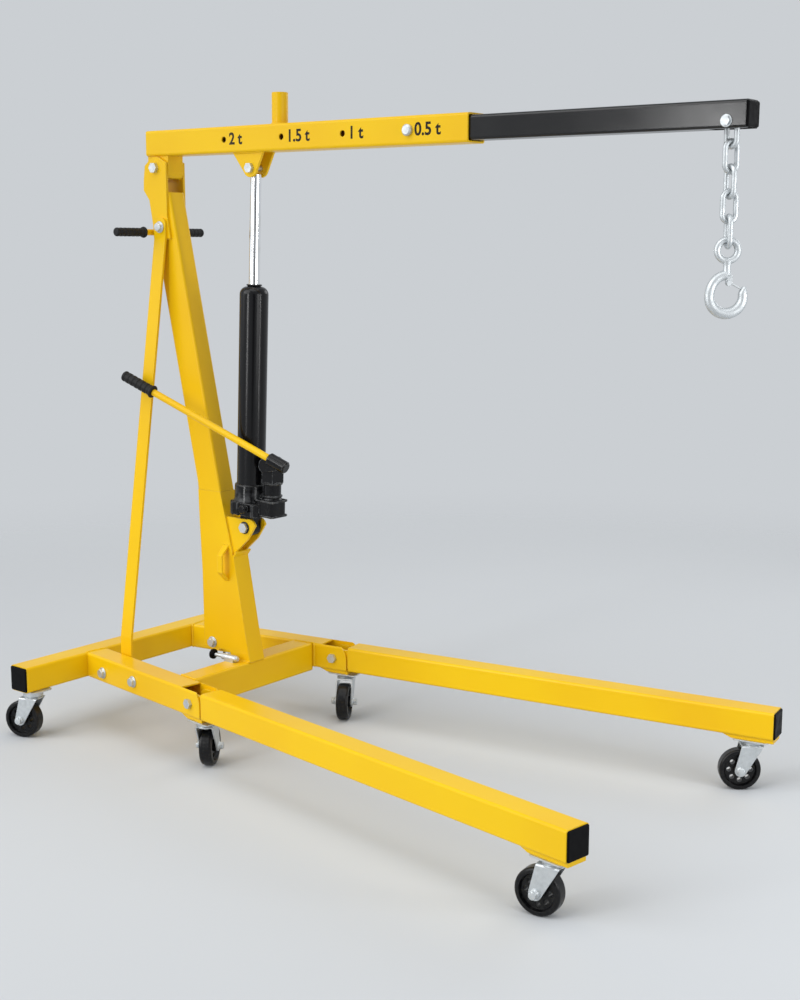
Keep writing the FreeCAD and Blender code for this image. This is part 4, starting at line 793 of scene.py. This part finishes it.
class StageSettings(bpy.types.PropertyGroup):
    """Camera, floor and lamps."""

    camera_place: FloatVectorProperty(
        name="Camera place", description="Where the camera stands", subtype="TRANSLATION", unit="LENGTH",
        default=(2.04538, -2.5176, 1.1796))
    camera_yaw: FloatProperty(
        name="Camera yaw", description="Turn of the view to the left of +Y", unit="ROTATION",
        default=math.radians(38.21))
    camera_pitch: FloatProperty(
        name="Camera pitch", description="How far the view looks down", unit="ROTATION",
        default=math.radians(9.67))
    focal_pixels: FloatProperty(
        name="Focal length", description="Focal length for an image 1000 pixels high", subtype="PIXEL",
        default=1467.6)
    backdrop: colour("Backdrop", "Colour behind the crane", "#CBCFD3")
    floor: colour("Floor", "Colour of the studio floor", "#CBCFD3")
    floor_radius: FloatProperty(
        name="Floor radius", description="Where the floor has faded into the backdrop", unit="LENGTH",
        default=4.2)
    flag_radius: FloatProperty(
        name="Flag radius", description="How far the black cloth stands from the ram", unit="LENGTH",
        default=4.0)
    flag_half: FloatProperty(
        name="Flag half width", description="Half the angle that the black cloth covers", unit="ROTATION",
        default=math.radians(8.0))
    sky: FloatProperty(name="Sky", description="Strength of the even studio light", default=0.36)


# Lower and upper edge of the black cloth in metres
FLAG_LOW = 0.05
FLAG_HIGH = 2.3
# How wide the boxes throw their light
SPREAD = math.radians(120.0)
# Kind, place, strength, then a sun's angle or a box's width, height and spread
LAMPS = {
    "key": ("SUN", (-1.6, -3.2, 3.4), 1.28, (math.radians(48.0),)),
    "top": ("SUN", (0.4, -0.4, 4.0), 0.9, (math.radians(50.0),)),
    "left_box": ("AREA", (-2.6, -2.4, 1.9), 4.6, (1.4, 2.2, SPREAD)),
    "left_slit": ("AREA", (-0.62, -3.0, 1.12), 8.4, (0.3, 1.36, SPREAD)),
    "right_slit": ("AREA", (2.5, 0.3, 0.9), 4.6, (0.16, 1.3, SPREAD)),
    "right_box": ("AREA", (2.9, -0.7, 1.1), 6.4, (1.0, 1.4, SPREAD)),
    "back_box": ("AREA", (0.6, 3.2, 2.2), 8.0, (1.8, 1.4, SPREAD)),
}


class CRANE_OT_stage(bpy.types.Operator):
    """Camera at the photograph's place, pale floor and soft studio lamps"""

    bl_idname = "crane.stage"
    bl_label = "Stage"

    def execute(self, context):
        s = context.scene.crane_stage
        scene = context.scene
        scene.view_settings.view_transform = "Standard"
        camera = bpy.data.cameras.new("camera")
        camera.sensor_fit = "VERTICAL"
        camera.sensor_height = 36.0
        camera.lens = s.focal_pixels / IMAGE_HEIGHT * camera.sensor_height
        camera.clip_end = 100.0
        holder = bpy.data.objects.new("camera", camera)
        holder.location = s.camera_place
        holder.rotation_euler = (math.radians(90.0) - s.camera_pitch, 0.0, s.camera_yaw)
        scene.collection.objects.link(holder)
        scene.camera = holder
        self.backdrop(scene, s)
        self.floor(scene, s)
        self.flag(scene, s)
        middle = (np.array(CAD_BOX[0]) + np.array(CAD_BOX[1])) / 2.0
        for name, (kind, place, energy, sizes) in LAMPS.items():
            lamp = bpy.data.lights.new(name, kind)
            lamp.energy = energy
            if kind == "SUN":
                lamp.angle = sizes[0]
            else:
                lamp.shape = "RECTANGLE"
                lamp.size, lamp.size_y, lamp.spread = sizes
            stand = bpy.data.objects.new(name, lamp)
            stand.location = place
            aim = Vector(middle.tolist()) - Vector(place)
            stand.rotation_euler = aim.to_track_quat("-Z", "Y").to_euler()
            stand.visible_camera = False
            scene.collection.objects.link(stand)
        return {"FINISHED"}

    def backdrop(self, scene, s):
        """World that lights evenly and shows the backdrop's colour to the camera and in reflections."""
        scene.world = bpy.data.worlds.new("studio")
        scene.world.use_nodes = True
        tree = scene.world.node_tree
        tree.nodes.clear()
        ray = add(tree, "LightPath").outputs
        seen = ray["Is Camera Ray"]
        for kind in ("Is Glossy Ray", "Is Transmission Ray"):
            seen = add(tree, "Math", {0: seen, 1: ray[kind]}, operation="MAXIMUM").outputs["Value"]
        light = add(tree, "Background", {"Color": (1.0, 1.0, 1.0, 1.0), "Strength": s.sky})
        shown = add(tree, "Background", {"Color": s.backdrop, "Strength": 1.0})
        both = add(tree, "MixShader", {0: seen, 1: light.outputs[0], 2: shown.outputs[0]})
        add(tree, "OutputWorld", {"Surface": both.outputs[0]})

    def floor(self, scene, s):
        """Round floor that takes the crane's shadow and fades into the backdrop."""
        material, tree, place = started("studio_floor")
        away = add(tree, "VectorMath", {0: place}, operation="LENGTH").outputs["Value"]
        start = 0.45 * s.floor_radius
        fade = add(tree, "MapRange", {"Value": away, "From Min": start, "From Max": s.floor_radius},
                   interpolation_type="SMOOTHSTEP").outputs["Result"]
        paper = add(tree, "BsdfPrincipled", {"Base Color": s.floor, "Roughness": 0.9,
                                             "Specular IOR Level": 0.1})
        clear = add(tree, "BsdfTransparent")
        both = add(tree, "MixShader", {0: fade, 1: paper.outputs[0], 2: clear.outputs[0]})
        add(tree, "OutputMaterial", {"Surface": both.outputs[0]})
        profile = [(0.0, 0.0), (0.5 * s.floor_radius, 0.0), (s.floor_radius, 0.0)]
        points, quads = spun(profile, columns=96)
        mesh = bpy.data.meshes.new("floor")
        mesh.from_pydata(points.tolist(), [], quads.tolist())
        mesh.materials.append(material)
        plate = bpy.data.objects.new("floor", mesh)
        scene.collection.objects.link(plate)

    def flag(self, scene, s):
        """Black cloth behind the camera that only reflections show: an upright sheet bent round the ram."""
        material, tree, place = started("black_velvet")
        nap = add(tree, "TexNoise", {"Vector": place, "Scale": per_metre(3.0), "Detail": 2.0}).outputs["Fac"]
        shade = add(tree, "MapRange", {"Value": nap, "To Min": 0.002, "To Max": 0.006}).outputs["Result"]
        cloth = add(tree, "BsdfPrincipled", {"Base Color": shade, "Roughness": 1.0,
                                             "Specular IOR Level": 0.0})
        add(tree, "OutputMaterial", {"Surface": cloth.outputs[0]})
        foot = np.array(JOINTS["ram_tilt"]["pos_m"])
        middle = math.atan2(s.camera_place[1] - foot[1], s.camera_place[0] - foot[0])
        columns = 24
        rows = 12
        turns = middle + np.linspace(-1.0, 1.0, columns) * s.flag_half
        t, z = np.meshgrid(turns, np.linspace(FLAG_LOW, FLAG_HIGH, rows), indexing="ij")
        points = np.stack([foot[0] + s.flag_radius * np.cos(t), foot[1] + s.flag_radius * np.sin(t), z], -1)
        quads = grid_quads(columns, rows, closed=False)
        mesh = bpy.data.meshes.new("flag")
        mesh.from_pydata(points.reshape(-1, 3).tolist(), [], quads.tolist())
        mesh.materials.append(material)
        sheet = bpy.data.objects.new("flag", mesh)
        sheet.visible_camera = False
        sheet.visible_diffuse = False
        sheet.visible_shadow = False
        scene.collection.objects.link(sheet)


OPERATORS = (CRANE_OT_finishes, CRANE_OT_fasteners, CRANE_OT_welds, CRANE_OT_castings, CRANE_OT_marks,
             CRANE_OT_stage)
SETTINGS = {"crane_finish": FinishSettings, "crane_fasteners": FastenerSettings, "crane_welds": WeldSettings,
            "crane_castings": CastingSettings, "crane_marks": MarkSettings, "crane_stage": StageSettings}


class CRANE_PT_looks(bpy.types.Panel):
    """Sidebar list of the crane's operators and their settings"""

    bl_idname = "CRANE_PT_looks"
    bl_label = "Crane"
    bl_space_type = "VIEW_3D"
    bl_region_type = "UI"
    bl_category = "Crane"

    def draw(self, context):
        for operator in OPERATORS:
            self.layout.operator(operator.bl_idname)
        for name, group in SETTINGS.items():
            box = self.layout.box()
            for key in group.__annotations__:
                box.prop(getattr(context.scene, name), key)


CLASSES = (*SETTINGS.values(), *OPERATORS, CRANE_PT_looks)


def register():
    """Register the classes and hang the settings on the scene."""
    for cls in CLASSES:
        bpy.utils.register_class(cls)
    for name, group in SETTINGS.items():
        setattr(bpy.types.Scene, name, PointerProperty(type=group))


def unregister():
    """Take the settings and the classes away again."""
    for name in SETTINGS:
        delattr(bpy.types.Scene, name)
    for cls in reversed(CLASSES):
        bpy.utils.unregister_class(cls)


def main():
    """Build everything in order."""
    register()
    bpy.ops.crane.finishes()
    bpy.ops.crane.fasteners()
    bpy.ops.crane.welds()
    bpy.ops.crane.castings()
    bpy.ops.crane.marks()
    bpy.ops.crane.stage()


if __name__ == "__main__":
    main()
